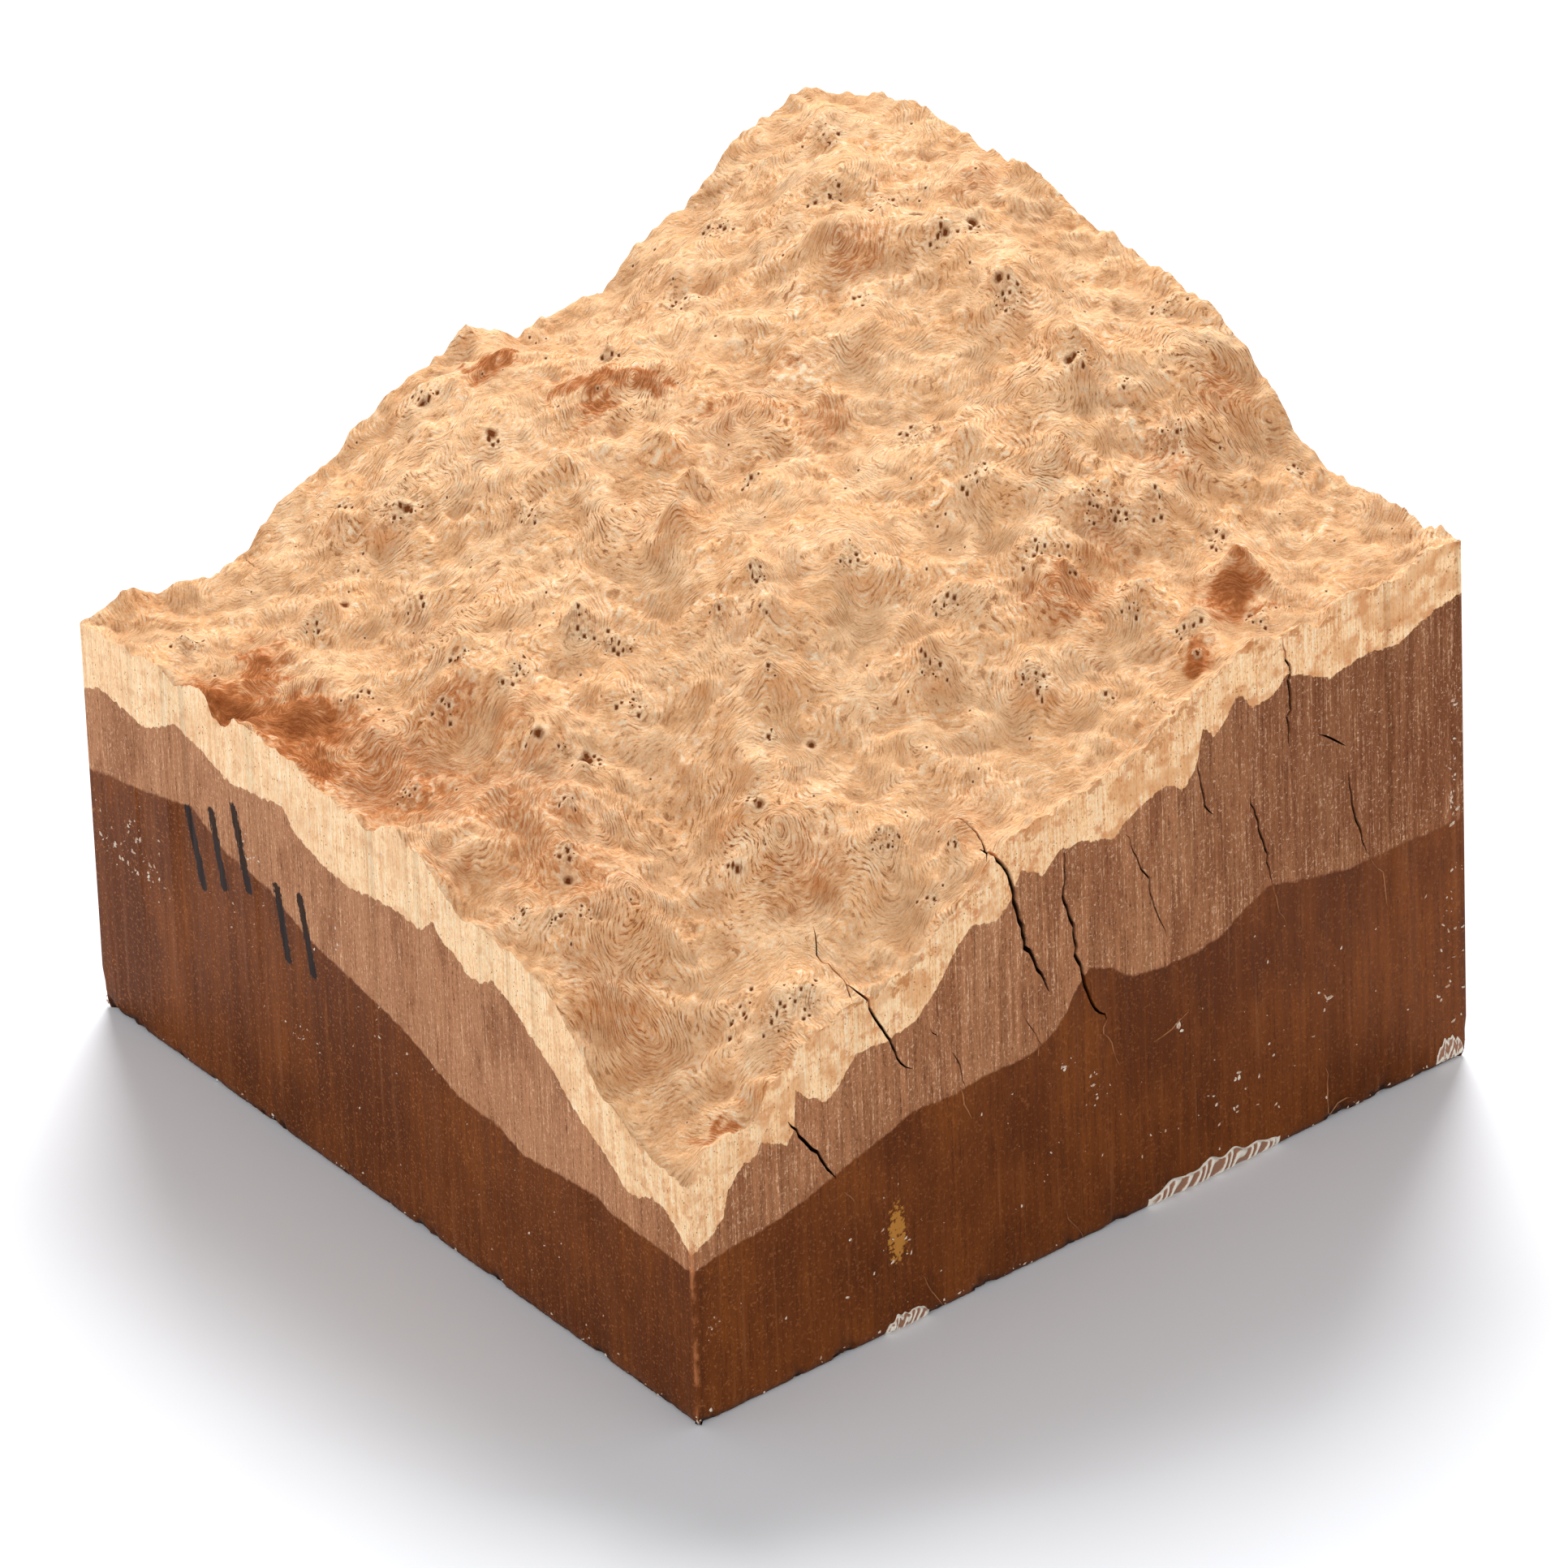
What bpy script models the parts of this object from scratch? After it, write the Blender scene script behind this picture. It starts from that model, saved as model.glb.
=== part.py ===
"""A mallee burl turning blank: one block of burl wood, sawn square on four sides and below,
that keeps the burl's natural lumpy outside as its top. Metres, +Z up. The origin is the
middle of the flat sawn base. The sharp near corner is at -X -Y, the low end of the burl."""
import bpy
import bmesh
import numpy as np

MM = 0.001

# The sawn block
WIDTH = 145 * MM                # left face to right face, along X
DEPTH = 144 * MM                # front face to back face, along Y
TOP_CELLS = 64                  # squares along each side of the modelled top
ARRIS_HEIGHT = 3 * MM           # where the sawn faces start to round in to the base
ARRIS_INSET = 0.9 * MM          # how far the base lies inside the faces
CORNER_WEAR = 1.6 * MM          # extra rounding at the foot of the left and right corners

# The rims where the natural surface meets each sawn face: millimetres along the face
# from its corner, and millimetres above the base. The left and right rims run along Y,
# from the front; the front and back rims run along X, from the left.
LEFT_RIM = [(0, 42), (10, 44), (19, 48), (26, 54), (30, 59), (40, 62), (52, 62), (60, 67), (67, 70), (74, 66),
            (82, 67), (92, 69), (106, 70), (109, 69), (114, 71), (120, 69), (127, 70), (136, 68), (144, 68)]
FRONT_RIM = [(0, 42), (4, 48), (13, 49), (15, 53), (20, 56), (28, 60), (36, 60), (42, 62), (51, 69), (60, 76),
             (70, 77), (85, 80), (93, 85), (106, 90), (116, 87), (125, 90), (132, 88), (138, 91), (145, 91)]
BACK_RIM = [(0, 68), (8, 70), (15, 67), (25, 66), (31, 68), (38, 74), (46, 76), (52, 80), (62, 85), (68, 86),
            (73, 90), (82, 84), (100, 86), (105, 91), (116, 94), (124, 101), (133, 104), (138, 105), (145, 101)]
RIGHT_RIM = [(0, 91), (9, 89), (17, 89), (28, 88), (37, 91), (42, 96), (54, 104), (65, 105), (75, 105), (87, 106),
             (96, 109), (106, 108), (111, 107), (118, 108), (125, 108), (135, 105), (144, 101)]
RIM_WAVES = 4                   # half waves in the smooth part of a rim
RIM_REACH = 8 * MM              # how far a rim's own bumps run into the surface

# The smooth valley that climbs from the near corner: millimetres from the left face,
# from the front face, and its depth
VALLEY = [(0, 0, 0), (10, 14, 3), (22, 30, 4.5), (34, 48, 5), (46, 68, 4), (62, 84, 3), (80, 80, 2), (104, 68, 2)]
VALLEY_HALF_WIDTH = 10 * MM

# The burl's larger mounds: millimetres from the left face, from the front face,
# reach and height
MOUNDS = [
    (7, 127, 5, 2.5), (23, 116, 6, 4.0), (29, 135, 6, 4.0), (14, 104, 6, 4.5), (12, 88, 5, 4.0), (45, 122, 7, 4.0),
    (60, 138, 5, 3.0), (70, 131, 6, 4.5), (76, 108, 10, 6.0), (86, 89, 8, 5.0), (59, 86, 8, 4.5), (36, 92, 8, 6.0),
    (57, 100, 6, 4.0), (71, 94, 3, 5.0), (70, 85, 3, 5.0), (64, 80, 3, 6.0), (29, 89, 4, 4.0), (23, 84, 5, 4.5),
    (30, 79, 5, 4.0), (28, 71, 4, 4.0), (39, 64, 6, 3.0), (43, 78, 5, 4.0), (76, 76, 5, 3.0), (62, 62, 4, 4.0),
    (58, 54, 4, 4.5), (54, 46, 4, 4.5), (121, 61, 5, 6.0), (112, 58, 7, 4.5), (108, 48, 8, 4.5), (136, 52, 7, 4.5),
    (130, 42, 6, 3.0), (118, 36, 5, 4.0), (107, 39, 5, 3.0), (98, 51, 4, 4.0), (100, 59, 3, 4.5), (92, 68, 5, 2.5),
    (74, 55, 5, 4.0), (78, 48, 4, 3.0), (82, 39, 5, 3.0), (97, 38, 6, 4.5), (93, 29, 7, 5.0), (102, 21, 4, 4.5),
    (116, 18, 6, 8.0), (105, 12, 4, 4.0), (73, 34, 4, 4.5), (83, 23, 6, 4.5), (43, 36, 5, 4.5), (38, 26, 8, 6.0),
    (17, 35, 8, 6.0), (6, 45, 5, 3.0), (15, 47, 5, 4.0), (23, 53, 5, 4.5), (8, 62, 5, 3.0), (26, 66, 4, 4.0),
    (10, 24, 6, 4.0), (23, 9, 7, 4.0), (49, 17, 7, 4.5), (11, 4, 3, 2.5), (121, 119, 7, 4.5), (114, 105, 8, 7.0),
    (127, 97, 5, 4.5), (127, 87, 7, 4.5), (124, 77, 6, 6.0), (139, 103, 5, 4.0), (60, 120, 6, 3.0), (89, 116, 7, 4.0),
    (101, 127, 7, 4.0), (98, 102, 6, 4.0), (105, 90, 6, 4.0), (134, 131, 6, 4.0), (137, 24, 6, 2.5), (62, 22, 5, 3.0)]
MOUND_POINT = 1.3               # 2 is a round dome, 1 is a sharp cone
MOUND_WANDER = 1.4 * MM         # how far the mounds' outlines stray from circles
MOUND_LEVEL = 2.7 * MM          # their mean height, taken off so that they don't raise the block
MOUND_EDGE = 3 * MM             # where they start to flatten towards a rim

# Smaller buds, one in each square of a loose grid
BUD_PITCH = 9 * MM
BUD_REACH = (2.4 * MM, 3.6 * MM)
BUD_HEIGHT = (0.6 * MM, 2.0 * MM)
BUD_SEED = 11

# Drying cracks in the front face: millimetres from the left face and above the base
FRONT_CRACKS = {
    "crack_middle": (0.8 * MM, [(56, 80), (58, 73), (60, 69), (60.5, 65), (62, 58), (64, 52), (66.6, 46)]),
    "crack_beside_middle": (0.7 * MM, [(69.5, 69), (70, 63), (69.7, 60), (71.5, 54), (72, 50), (74.5, 40), (77, 36)]),
    "crack_left": (0.6 * MM, [(30, 64), (32.7, 60), (34.5, 56), (37, 51), (39, 46), (41, 44)]),
    "crack_near_corner": (0.6 * MM, [(18, 45.5), (21, 40), (23.2, 38), (26.5, 31.5)]),
    "crack_right": (0.5 * MM, [(111, 86), (112.7, 82), (112, 77), (111.6, 74), (112, 68.5)])}
FRONT_CRACK_DEPTH = 5 * MM

# Where two of them run on over the natural surface: millimetres from the left face
# and from the front face
TOP_CRACKS = {
    "crack_middle_top": (0.6 * MM, [(57, 1), (59, 5), (60, 10), (59, 15)]),
    "crack_left_top": (0.6 * MM, [(31.5, 0.5), (33, 4), (33, 8), (35, 14)])}
TOP_CRACK_DEPTH = 4 * MM
CRACK_TIP = 0.2                 # a crack's width at its ends, over its width in the middle
CUTTER_OVERRUN = 2 * MM         # how far a cutter stands out of the wood

WOOD_COLOUR = (0.62, 0.36, 0.18, 1.0)


def rim_curves(points):
    """Two curves read along a rim: its smooth line, which is the straight line between its
    corners plus a few half sine waves, and what is left over, which is nought at both corners."""
    along, height = (np.array(points, float) * MM).T
    length = along[-1]
    sample = np.linspace(0, length, 400)

    def chord(u):
        return height[0] + (height[-1] - height[0]) * u / length

    def waves(u):
        return np.stack([np.sin(k * np.pi * u / length) for k in range(1, RIM_WAVES + 1)], axis=-1)

    strength = np.linalg.lstsq(waves(sample), np.interp(sample, along, height) - chord(sample), rcond=None)[0]

    def smooth(u):
        return chord(u) + waves(u) @ strength

    def bumps(u):
        return np.interp(u, along, height) - smooth(u)

    return smooth, bumps


def block_form(u, v):
    """The large form: a surface blended between the four smooth rims."""
    left, right = rim_curves(LEFT_RIM)[0], rim_curves(RIGHT_RIM)[0]
    front, back = rim_curves(FRONT_RIM)[0], rim_curves(BACK_RIM)[0]
    s, t = u / WIDTH, v / DEPTH
    near, far_left = LEFT_RIM[0][1] * MM, LEFT_RIM[-1][1] * MM
    far_right, far = RIGHT_RIM[0][1] * MM, RIGHT_RIM[-1][1] * MM
    corners = (1 - s) * ((1 - t) * near + t * far_left) + s * ((1 - t) * far_right + t * far)
    return (1 - s) * left(v) + s * right(v) + (1 - t) * front(u) + t * back(u) - corners


def rim_bumps(u, v):
    """Each rim's own bumps, which die away going in from the rim."""
    return (rim_curves(LEFT_RIM)[1](v) * np.exp(-u / RIM_REACH)
            + rim_curves(RIGHT_RIM)[1](v) * np.exp(-(WIDTH - u) / RIM_REACH)
            + rim_curves(FRONT_RIM)[1](u) * np.exp(-v / RIM_REACH)
            + rim_curves(BACK_RIM)[1](u) * np.exp(-(DEPTH - v) / RIM_REACH))


def valley(u, v):
    """A round-bottomed groove along a line, as deep as the nearest point of the line says."""
    points = np.array(VALLEY, float) * MM
    nearest = np.full(u.shape, np.inf)
    depth = np.zeros(u.shape)
    for (u0, v0, d0), (u1, v1, d1) in zip(points[:-1], points[1:]):
        run_u, run_v = u1 - u0, v1 - v0
        part = np.clip(((u - u0) * run_u + (v - v0) * run_v) / (run_u ** 2 + run_v ** 2), 0, 1)
        away = np.hypot(u - u0 - part * run_u, v - v0 - part * run_v)
        closer = away < nearest
        nearest = np.where(closer, away, nearest)
        depth = np.where(closer, d0 + part * (d1 - d0), depth)
    return -depth * np.exp(-(nearest / VALLEY_HALF_WIDTH) ** 2)


def buds():
    """Small buds as rows of place, reach and height, one somewhere in each square."""
    random = np.random.default_rng(BUD_SEED)
    across, back = np.meshgrid(np.arange(BUD_PITCH / 2, WIDTH, BUD_PITCH), np.arange(BUD_PITCH / 2, DEPTH, BUD_PITCH))
    count = across.size
    stray = random.uniform(-0.45, 0.45, (2, count)) * BUD_PITCH
    reach = random.uniform(*BUD_REACH, count)
    height = random.uniform(*BUD_HEIGHT, count)
    return np.stack([across.ravel() + stray[0], back.ravel() + stray[1], reach, height], axis=1)


def mounds(u, v):
    """Pointed domes, height * exp(-(distance / reach) ** MOUND_POINT), flattened at the rims,
    where the rims' own bumps take over."""
    strayed_u = u + MOUND_WANDER * np.sin(v / (6 * MM) + 1.3) * np.cos(u / (9 * MM))
    strayed_v = v + MOUND_WANDER * np.sin(u / (5 * MM) + 0.4) * np.cos(v / (8 * MM))
    total = np.zeros(u.shape)
    for mound_u, mound_v, reach, height in np.vstack([np.array(MOUNDS, float) * MM, buds()]):
        away = np.hypot(strayed_u - mound_u, strayed_v - mound_v)
        total += height * np.exp(-(away / reach) ** MOUND_POINT)
    to_rim = np.minimum.reduce([u, v, WIDTH - u, DEPTH - v])
    return (total - MOUND_LEVEL) * (1 - np.exp(-(to_rim / MOUND_EDGE) ** 2))


def top_height(x, y):
    """The natural surface's height above the base, for arrays of places on it."""
    u = np.clip(x + WIDTH / 2, 0, WIDTH)
    v = np.clip(y + DEPTH / 2, 0, DEPTH)
    return block_form(u, v) + rim_bumps(u, v) + valley(u, v) + mounds(u, v)


def wood_material(name, colour):
    material = bpy.data.materials.new(name)
    material.use_nodes = True
    shader = material.node_tree.nodes["Principled BSDF"]
    shader.inputs["Base Color"].default_value = colour
    shader.inputs["Roughness"].default_value = 0.7
    shader.inputs["Metallic"].default_value = 0.0
    material.diffuse_color = colour
    return material


def add_object(name, shape, collection):
    """A bmesh made into an object of that name."""
    mesh = bpy.data.meshes.new(name)
    shape.to_mesh(mesh)
    shape.free()
    placed = bpy.data.objects.new(name, mesh)
    collection.objects.link(placed)
    return placed


def skirt(shape, edges, depth):
    """Carry a ring of edges straight down, and return the new ring."""
    made = bmesh.ops.extrude_edge_only(shape, edges=edges)["geom"]
    bmesh.ops.translate(shape, vec=(0, 0, -depth), verts=[item for item in made if isinstance(item, bmesh.types.BMVert)])
    return [item for item in made if isinstance(item, bmesh.types.BMEdge) and item.is_boundary]


def burl_blank(collection):
    """A grid with two skirts and a closed base, its top then raised to the natural surface."""
    shape = bmesh.new()
    bmesh.ops.create_grid(shape, x_segments=TOP_CELLS, y_segments=TOP_CELLS, size=0.5)
    bmesh.ops.scale(shape, vec=(WIDTH, DEPTH, 1), verts=shape.verts)
    bmesh.ops.translate(shape, vec=(0, 0, ARRIS_HEIGHT * 2), verts=shape.verts)
    rim = [edge for edge in shape.edges if edge.is_boundary]
    arris = skirt(shape, rim, ARRIS_HEIGHT)
    foot = skirt(shape, arris, ARRIS_HEIGHT)
    base = bmesh.ops.contextual_create(shape, geom=foot)["faces"]
    bmesh.ops.poke(shape, faces=base)

    top = [vert for vert in shape.verts if vert.co.z > ARRIS_HEIGHT * 1.5]
    heights = top_height(np.array([vert.co.x for vert in top]), np.array([vert.co.y for vert in top]))
    for vert, height in zip(top, heights):
        vert.co.z = height
    for vert in shape.verts:
        if vert.co.z < ARRIS_HEIGHT * 0.5:
            draw_in(vert, ARRIS_INSET)
    bmesh.ops.recalc_face_normals(shape, faces=shape.faces)
    return add_object("burl_blank", shape, collection)


def draw_in(vert, inset):
    """Move a point of the foot towards the middle, and further at two worn corners."""
    at_side = abs(vert.co.x) > WIDTH / 2 - 1e-6
    at_end = abs(vert.co.y) > DEPTH / 2 - 1e-6
    worn_corner = at_side and at_end and vert.co.x * vert.co.y < 0
    inset = inset + (CORNER_WEAR if worn_corner else 0)
    if at_side:
        vert.co.x -= inset * np.sign(vert.co.x)
    if at_end:
        vert.co.y -= inset * np.sign(vert.co.y)


def crack_outline(path, width):
    """The outline of a crack along a path: widest in the middle and narrow at both ends."""
    path = np.array(path, float) * MM
    run = np.gradient(path, axis=0)
    side = np.stack([-run[:, 1], run[:, 0]], axis=1) / np.linalg.norm(run, axis=1)[:, None]
    part = np.linspace(0, 1, len(path))
    half = (width / 2 * (CRACK_TIP + (1 - CRACK_TIP) * np.sin(np.pi * part) ** 0.5))[:, None]
    return np.vstack([path + side * half, (path - side * half)[::-1]])


def crack_cutter(name, corners, push, collection):
    """A flat outline pushed straight into the wood, as a hidden cutter."""
    shape = bmesh.new()
    outline = shape.faces.new([shape.verts.new(corner) for corner in corners])
    pushed = bmesh.ops.extrude_face_region(shape, geom=[outline])["geom"]
    bmesh.ops.translate(shape, vec=push, verts=[item for item in pushed if isinstance(item, bmesh.types.BMVert)])
    bmesh.ops.recalc_face_normals(shape, faces=shape.faces)
    cutter = add_object(name, shape, collection)
    cutter.hide_render = True
    cutter.display_type = "WIRE"
    return cutter


def crack_cutters(collection):
    for name, (width, path) in FRONT_CRACKS.items():
        start = -DEPTH / 2 - CUTTER_OVERRUN
        corners = [(u - WIDTH / 2, start, z) for u, z in crack_outline(path, width)]
        crack_cutter(name, corners, (0, FRONT_CRACK_DEPTH + CUTTER_OVERRUN, 0), collection)
    for name, (width, path) in TOP_CRACKS.items():
        outline = crack_outline(path, width) - (WIDTH / 2, DEPTH / 2)
        floor = top_height(outline[:, 0], outline[:, 1]) - TOP_CRACK_DEPTH
        corners = [(x, y, floor.min()) for x, y in outline]
        height = TOP_CRACK_DEPTH * 2 + CUTTER_OVERRUN + floor.max() - floor.min()
        crack_cutter(name, corners, (0, 0, height), collection)


def cut(target, cutters):
    """One Boolean for the whole collection of cutters."""
    boolean = target.modifiers.new("Drying cracks", "BOOLEAN")
    boolean.operation = "DIFFERENCE"
    boolean.solver = "EXACT"
    boolean.use_self = True
    boolean.operand_type = "COLLECTION"
    boolean.collection = cutters


def main():
    for old in list(bpy.data.objects):
        bpy.data.objects.remove(old, do_unlink=True)
    parts = bpy.data.collections.new("mallee burl turning blank")
    cutters = bpy.data.collections.new("crack cutters")
    bpy.context.scene.collection.children.link(parts)
    bpy.context.scene.collection.children.link(cutters)
    blank = burl_blank(parts)
    blank.data.materials.append(wood_material("burl wood", WOOD_COLOUR))
    crack_cutters(cutters)
    cut(blank, cutters)


main()
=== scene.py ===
# %% [markdown]
# # A mallee burl turning blank
#
# A burl is a knotty outgrowth of a tree. This one was cut from a mallee eucalypt and sawn
# square on four sides and underneath, for a woodturner to put on a lathe. Its top is the
# burl's own outside with the bark taken off: a lumpy surface with ring lines round each
# hidden bud. Below it lies a band of pale sapwood, then brown heartwood, and the foot was
# dipped in wax so that the wood dries slowly.
#
# The frame holds the block as one plain solid at its real size. This script stands a finer
# mesh in its place, made from the same formula, and gives it its finish.

# %% The frame
import math

import bmesh
import bpy
import numpy as np
from mathutils import Matrix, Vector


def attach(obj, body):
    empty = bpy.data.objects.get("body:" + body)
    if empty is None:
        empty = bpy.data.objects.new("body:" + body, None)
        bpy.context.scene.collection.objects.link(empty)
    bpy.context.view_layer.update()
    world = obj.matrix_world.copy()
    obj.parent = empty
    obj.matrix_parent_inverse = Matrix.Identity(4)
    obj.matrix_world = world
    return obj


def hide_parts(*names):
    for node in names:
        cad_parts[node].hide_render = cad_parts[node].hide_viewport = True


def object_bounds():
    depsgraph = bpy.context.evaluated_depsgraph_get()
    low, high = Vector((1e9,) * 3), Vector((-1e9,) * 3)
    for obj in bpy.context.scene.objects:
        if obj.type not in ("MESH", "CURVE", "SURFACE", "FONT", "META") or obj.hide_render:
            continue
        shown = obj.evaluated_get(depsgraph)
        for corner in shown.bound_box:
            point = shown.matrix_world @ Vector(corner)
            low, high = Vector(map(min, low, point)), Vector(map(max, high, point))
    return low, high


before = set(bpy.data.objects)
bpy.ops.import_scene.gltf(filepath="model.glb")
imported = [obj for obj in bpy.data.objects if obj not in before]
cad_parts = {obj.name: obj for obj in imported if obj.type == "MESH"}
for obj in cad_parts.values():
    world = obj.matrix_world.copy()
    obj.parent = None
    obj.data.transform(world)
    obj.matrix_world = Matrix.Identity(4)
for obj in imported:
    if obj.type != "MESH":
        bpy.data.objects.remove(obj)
CAD_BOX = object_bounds()
MM = 0.001
WIDTH = float(CAD_BOX[1][0] - CAD_BOX[0][0])
DEPTH = float(CAD_BOX[1][1] - CAD_BOX[0][1])
print("block", round(WIDTH / MM, 1), "by", round(DEPTH / MM, 1), "mm")

# %% [markdown]
# ## The camera
#
# The picture was taken from above the near corner with a long lens, so the block's upright
# edges stay almost parallel. A camera could be placed by eye, but six corners of the block
# were measured in the picture, and turn, height, tilt and distance follow from them. The
# camera is aimed a little above the base, so it needs no shift.

# %% The camera
CAMERA_TURN = math.radians(-37.2)
CAMERA_RISE = math.radians(33.34)
CAMERA_TILT = math.radians(-2.2)
CAMERA_DISTANCE = 2.416
AIM_RIGHT, AIM_UP = 0.2 * MM, 36.6 * MM
SENSOR = 36.0
LENS = 372.7

back = np.array([math.sin(CAMERA_TURN) * math.cos(CAMERA_RISE),
                 -math.cos(CAMERA_TURN) * math.cos(CAMERA_RISE), math.sin(CAMERA_RISE)])
level = np.array([math.cos(CAMERA_TURN), math.sin(CAMERA_TURN), 0.0])
upright = np.cross(back, level)
right = math.cos(CAMERA_TILT) * level + math.sin(CAMERA_TILT) * upright
up = math.cos(CAMERA_TILT) * upright - math.sin(CAMERA_TILT) * level

camera = bpy.data.objects.new("camera", bpy.data.cameras.new("camera"))
bpy.context.scene.collection.objects.link(camera)
camera.data.sensor_width = SENSOR
camera.data.lens = LENS
camera.data.clip_start, camera.data.clip_end = 0.1, 20.0
place = back * CAMERA_DISTANCE + right * AIM_RIGHT + up * AIM_UP
camera.matrix_world = Matrix([*np.stack([right, up, back, place], axis=1).tolist(), [0, 0, 0, 1]])
bpy.context.scene.camera = camera
print("camera at", np.round(place, 3))

# %% [markdown]
# ## The block's large form
#
# The natural surface meets the four sawn faces along four rims. Each rim is a list of
# points as one would read them off the sawn face with a ruler. The surface between them
# could be sculpted, but a formula is easier to change: it blends the four rims' smooth
# lines, lets each rim's own bumps die away inwards, and sinks a valley into the middle.

# %% The four rims and the valley, in millimetres
LEFT_RIM = [
    (0, 42), (10, 44), (19, 48), (26, 54), (30, 59), (40, 62), (52, 62), (60, 67), (67, 70), (74, 66),
    (82, 67), (92, 69), (106, 70), (109, 69), (114, 71), (120, 69), (127, 70), (136, 68), (144, 68)]
FRONT_RIM = [
    (0, 42), (4, 48), (13, 49), (15, 53), (20, 56), (28, 60), (36, 60), (42, 62), (51, 69), (60, 76),
    (70, 77), (85, 80), (93, 85), (106, 90), (116, 87), (125, 90), (132, 88), (138, 91), (145, 91)]
BACK_RIM = [
    (0, 68), (8, 70), (15, 67), (25, 66), (31, 68), (38, 74), (46, 76), (52, 80), (62, 85), (68, 86),
    (73, 90), (82, 84), (100, 86), (105, 91), (116, 94), (124, 101), (133, 104), (138, 105), (145, 101)]
RIGHT_RIM = [
    (0, 91), (9, 89), (17, 89), (28, 88), (37, 91), (42, 96), (54, 104), (65, 105), (75, 105), (87, 106),
    (96, 109), (106, 108), (111, 107), (118, 108), (125, 108), (135, 105), (144, 101)]
RIM_WAVES = 4
RIM_REACH = 8 * MM
VALLEY = [
    (0, 0, 0), (10, 14, 3), (22, 30, 4.5), (34, 48, 5), (46, 68, 4), (62, 84, 3), (80, 80, 2),
    (104, 68, 2)]
VALLEY_HALF_WIDTH = 10 * MM


# %% Reading a rim
def rim_curves(points):
    """A rim's smooth line, which is the chord between its corners plus a few half sine
    waves fitted to it, and the bumps that are left over, which are nought at the corners."""
    along, height = (np.array(points, float) * MM).T
    length = along[-1]
    sample = np.linspace(0, length, 400)

    def chord(u):
        return height[0] + (height[-1] - height[0]) * u / length

    def waves(u):
        return np.stack([np.sin(k * np.pi * u / length) for k in range(1, RIM_WAVES + 1)], axis=-1)

    strength = np.linalg.lstsq(waves(sample), np.interp(sample, along, height) - chord(sample), rcond=None)[0]

    def smooth(u):
        return chord(u) + waves(u) @ strength

    def bumps(u):
        return np.interp(u, along, height) - smooth(u)

    return smooth, bumps


LEFT, RIGHT, FRONT, BACK = (rim_curves(rim) for rim in (LEFT_RIM, RIGHT_RIM, FRONT_RIM, BACK_RIM))


# %% The blend between the rims
def block_form(u, v):
    """Each pair of opposite rims is mixed straight across the block. The two mixes are
    added, and the straight mix of the four corner heights, counted twice, is taken off."""
    s, t = u / WIDTH, v / DEPTH
    near, far_left = LEFT_RIM[0][1] * MM, LEFT_RIM[-1][1] * MM
    far_right, far = RIGHT_RIM[0][1] * MM, RIGHT_RIM[-1][1] * MM
    corners = (1 - s) * ((1 - t) * near + t * far_left) + s * ((1 - t) * far_right + t * far)
    return (1 - s) * LEFT[0](v) + s * RIGHT[0](v) + (1 - t) * FRONT[0](u) + t * BACK[0](u) - corners


def rim_bumps(u, v):
    """Each rim's bumps times exp(-distance from that rim / reach)."""
    return (LEFT[1](v) * np.exp(-u / RIM_REACH) + RIGHT[1](v) * np.exp(-(WIDTH - u) / RIM_REACH)
            + FRONT[1](u) * np.exp(-v / RIM_REACH) + BACK[1](u) * np.exp(-(DEPTH - v) / RIM_REACH))


def valley(u, v):
    """Minus depth times exp(-(distance / half width) squared), where the distance is to the
    nearest point of a line and the depth is read there."""
    points = np.array(VALLEY, float) * MM
    nearest = np.full(u.shape, np.inf)
    depth = np.zeros(u.shape)
    for (u0, v0, d0), (u1, v1, d1) in zip(points[:-1], points[1:]):
        run_u, run_v = u1 - u0, v1 - v0
        part = np.clip(((u - u0) * run_u + (v - v0) * run_v) / (run_u ** 2 + run_v ** 2), 0, 1)
        away = np.hypot(u - u0 - part * run_u, v - v0 - part * run_v)
        closer = away < nearest
        nearest = np.where(closer, away, nearest)
        depth = np.where(closer, d0 + part * (d1 - d0), depth)
    return -depth * np.exp(-(nearest / VALLEY_HALF_WIDTH) ** 2)
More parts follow.
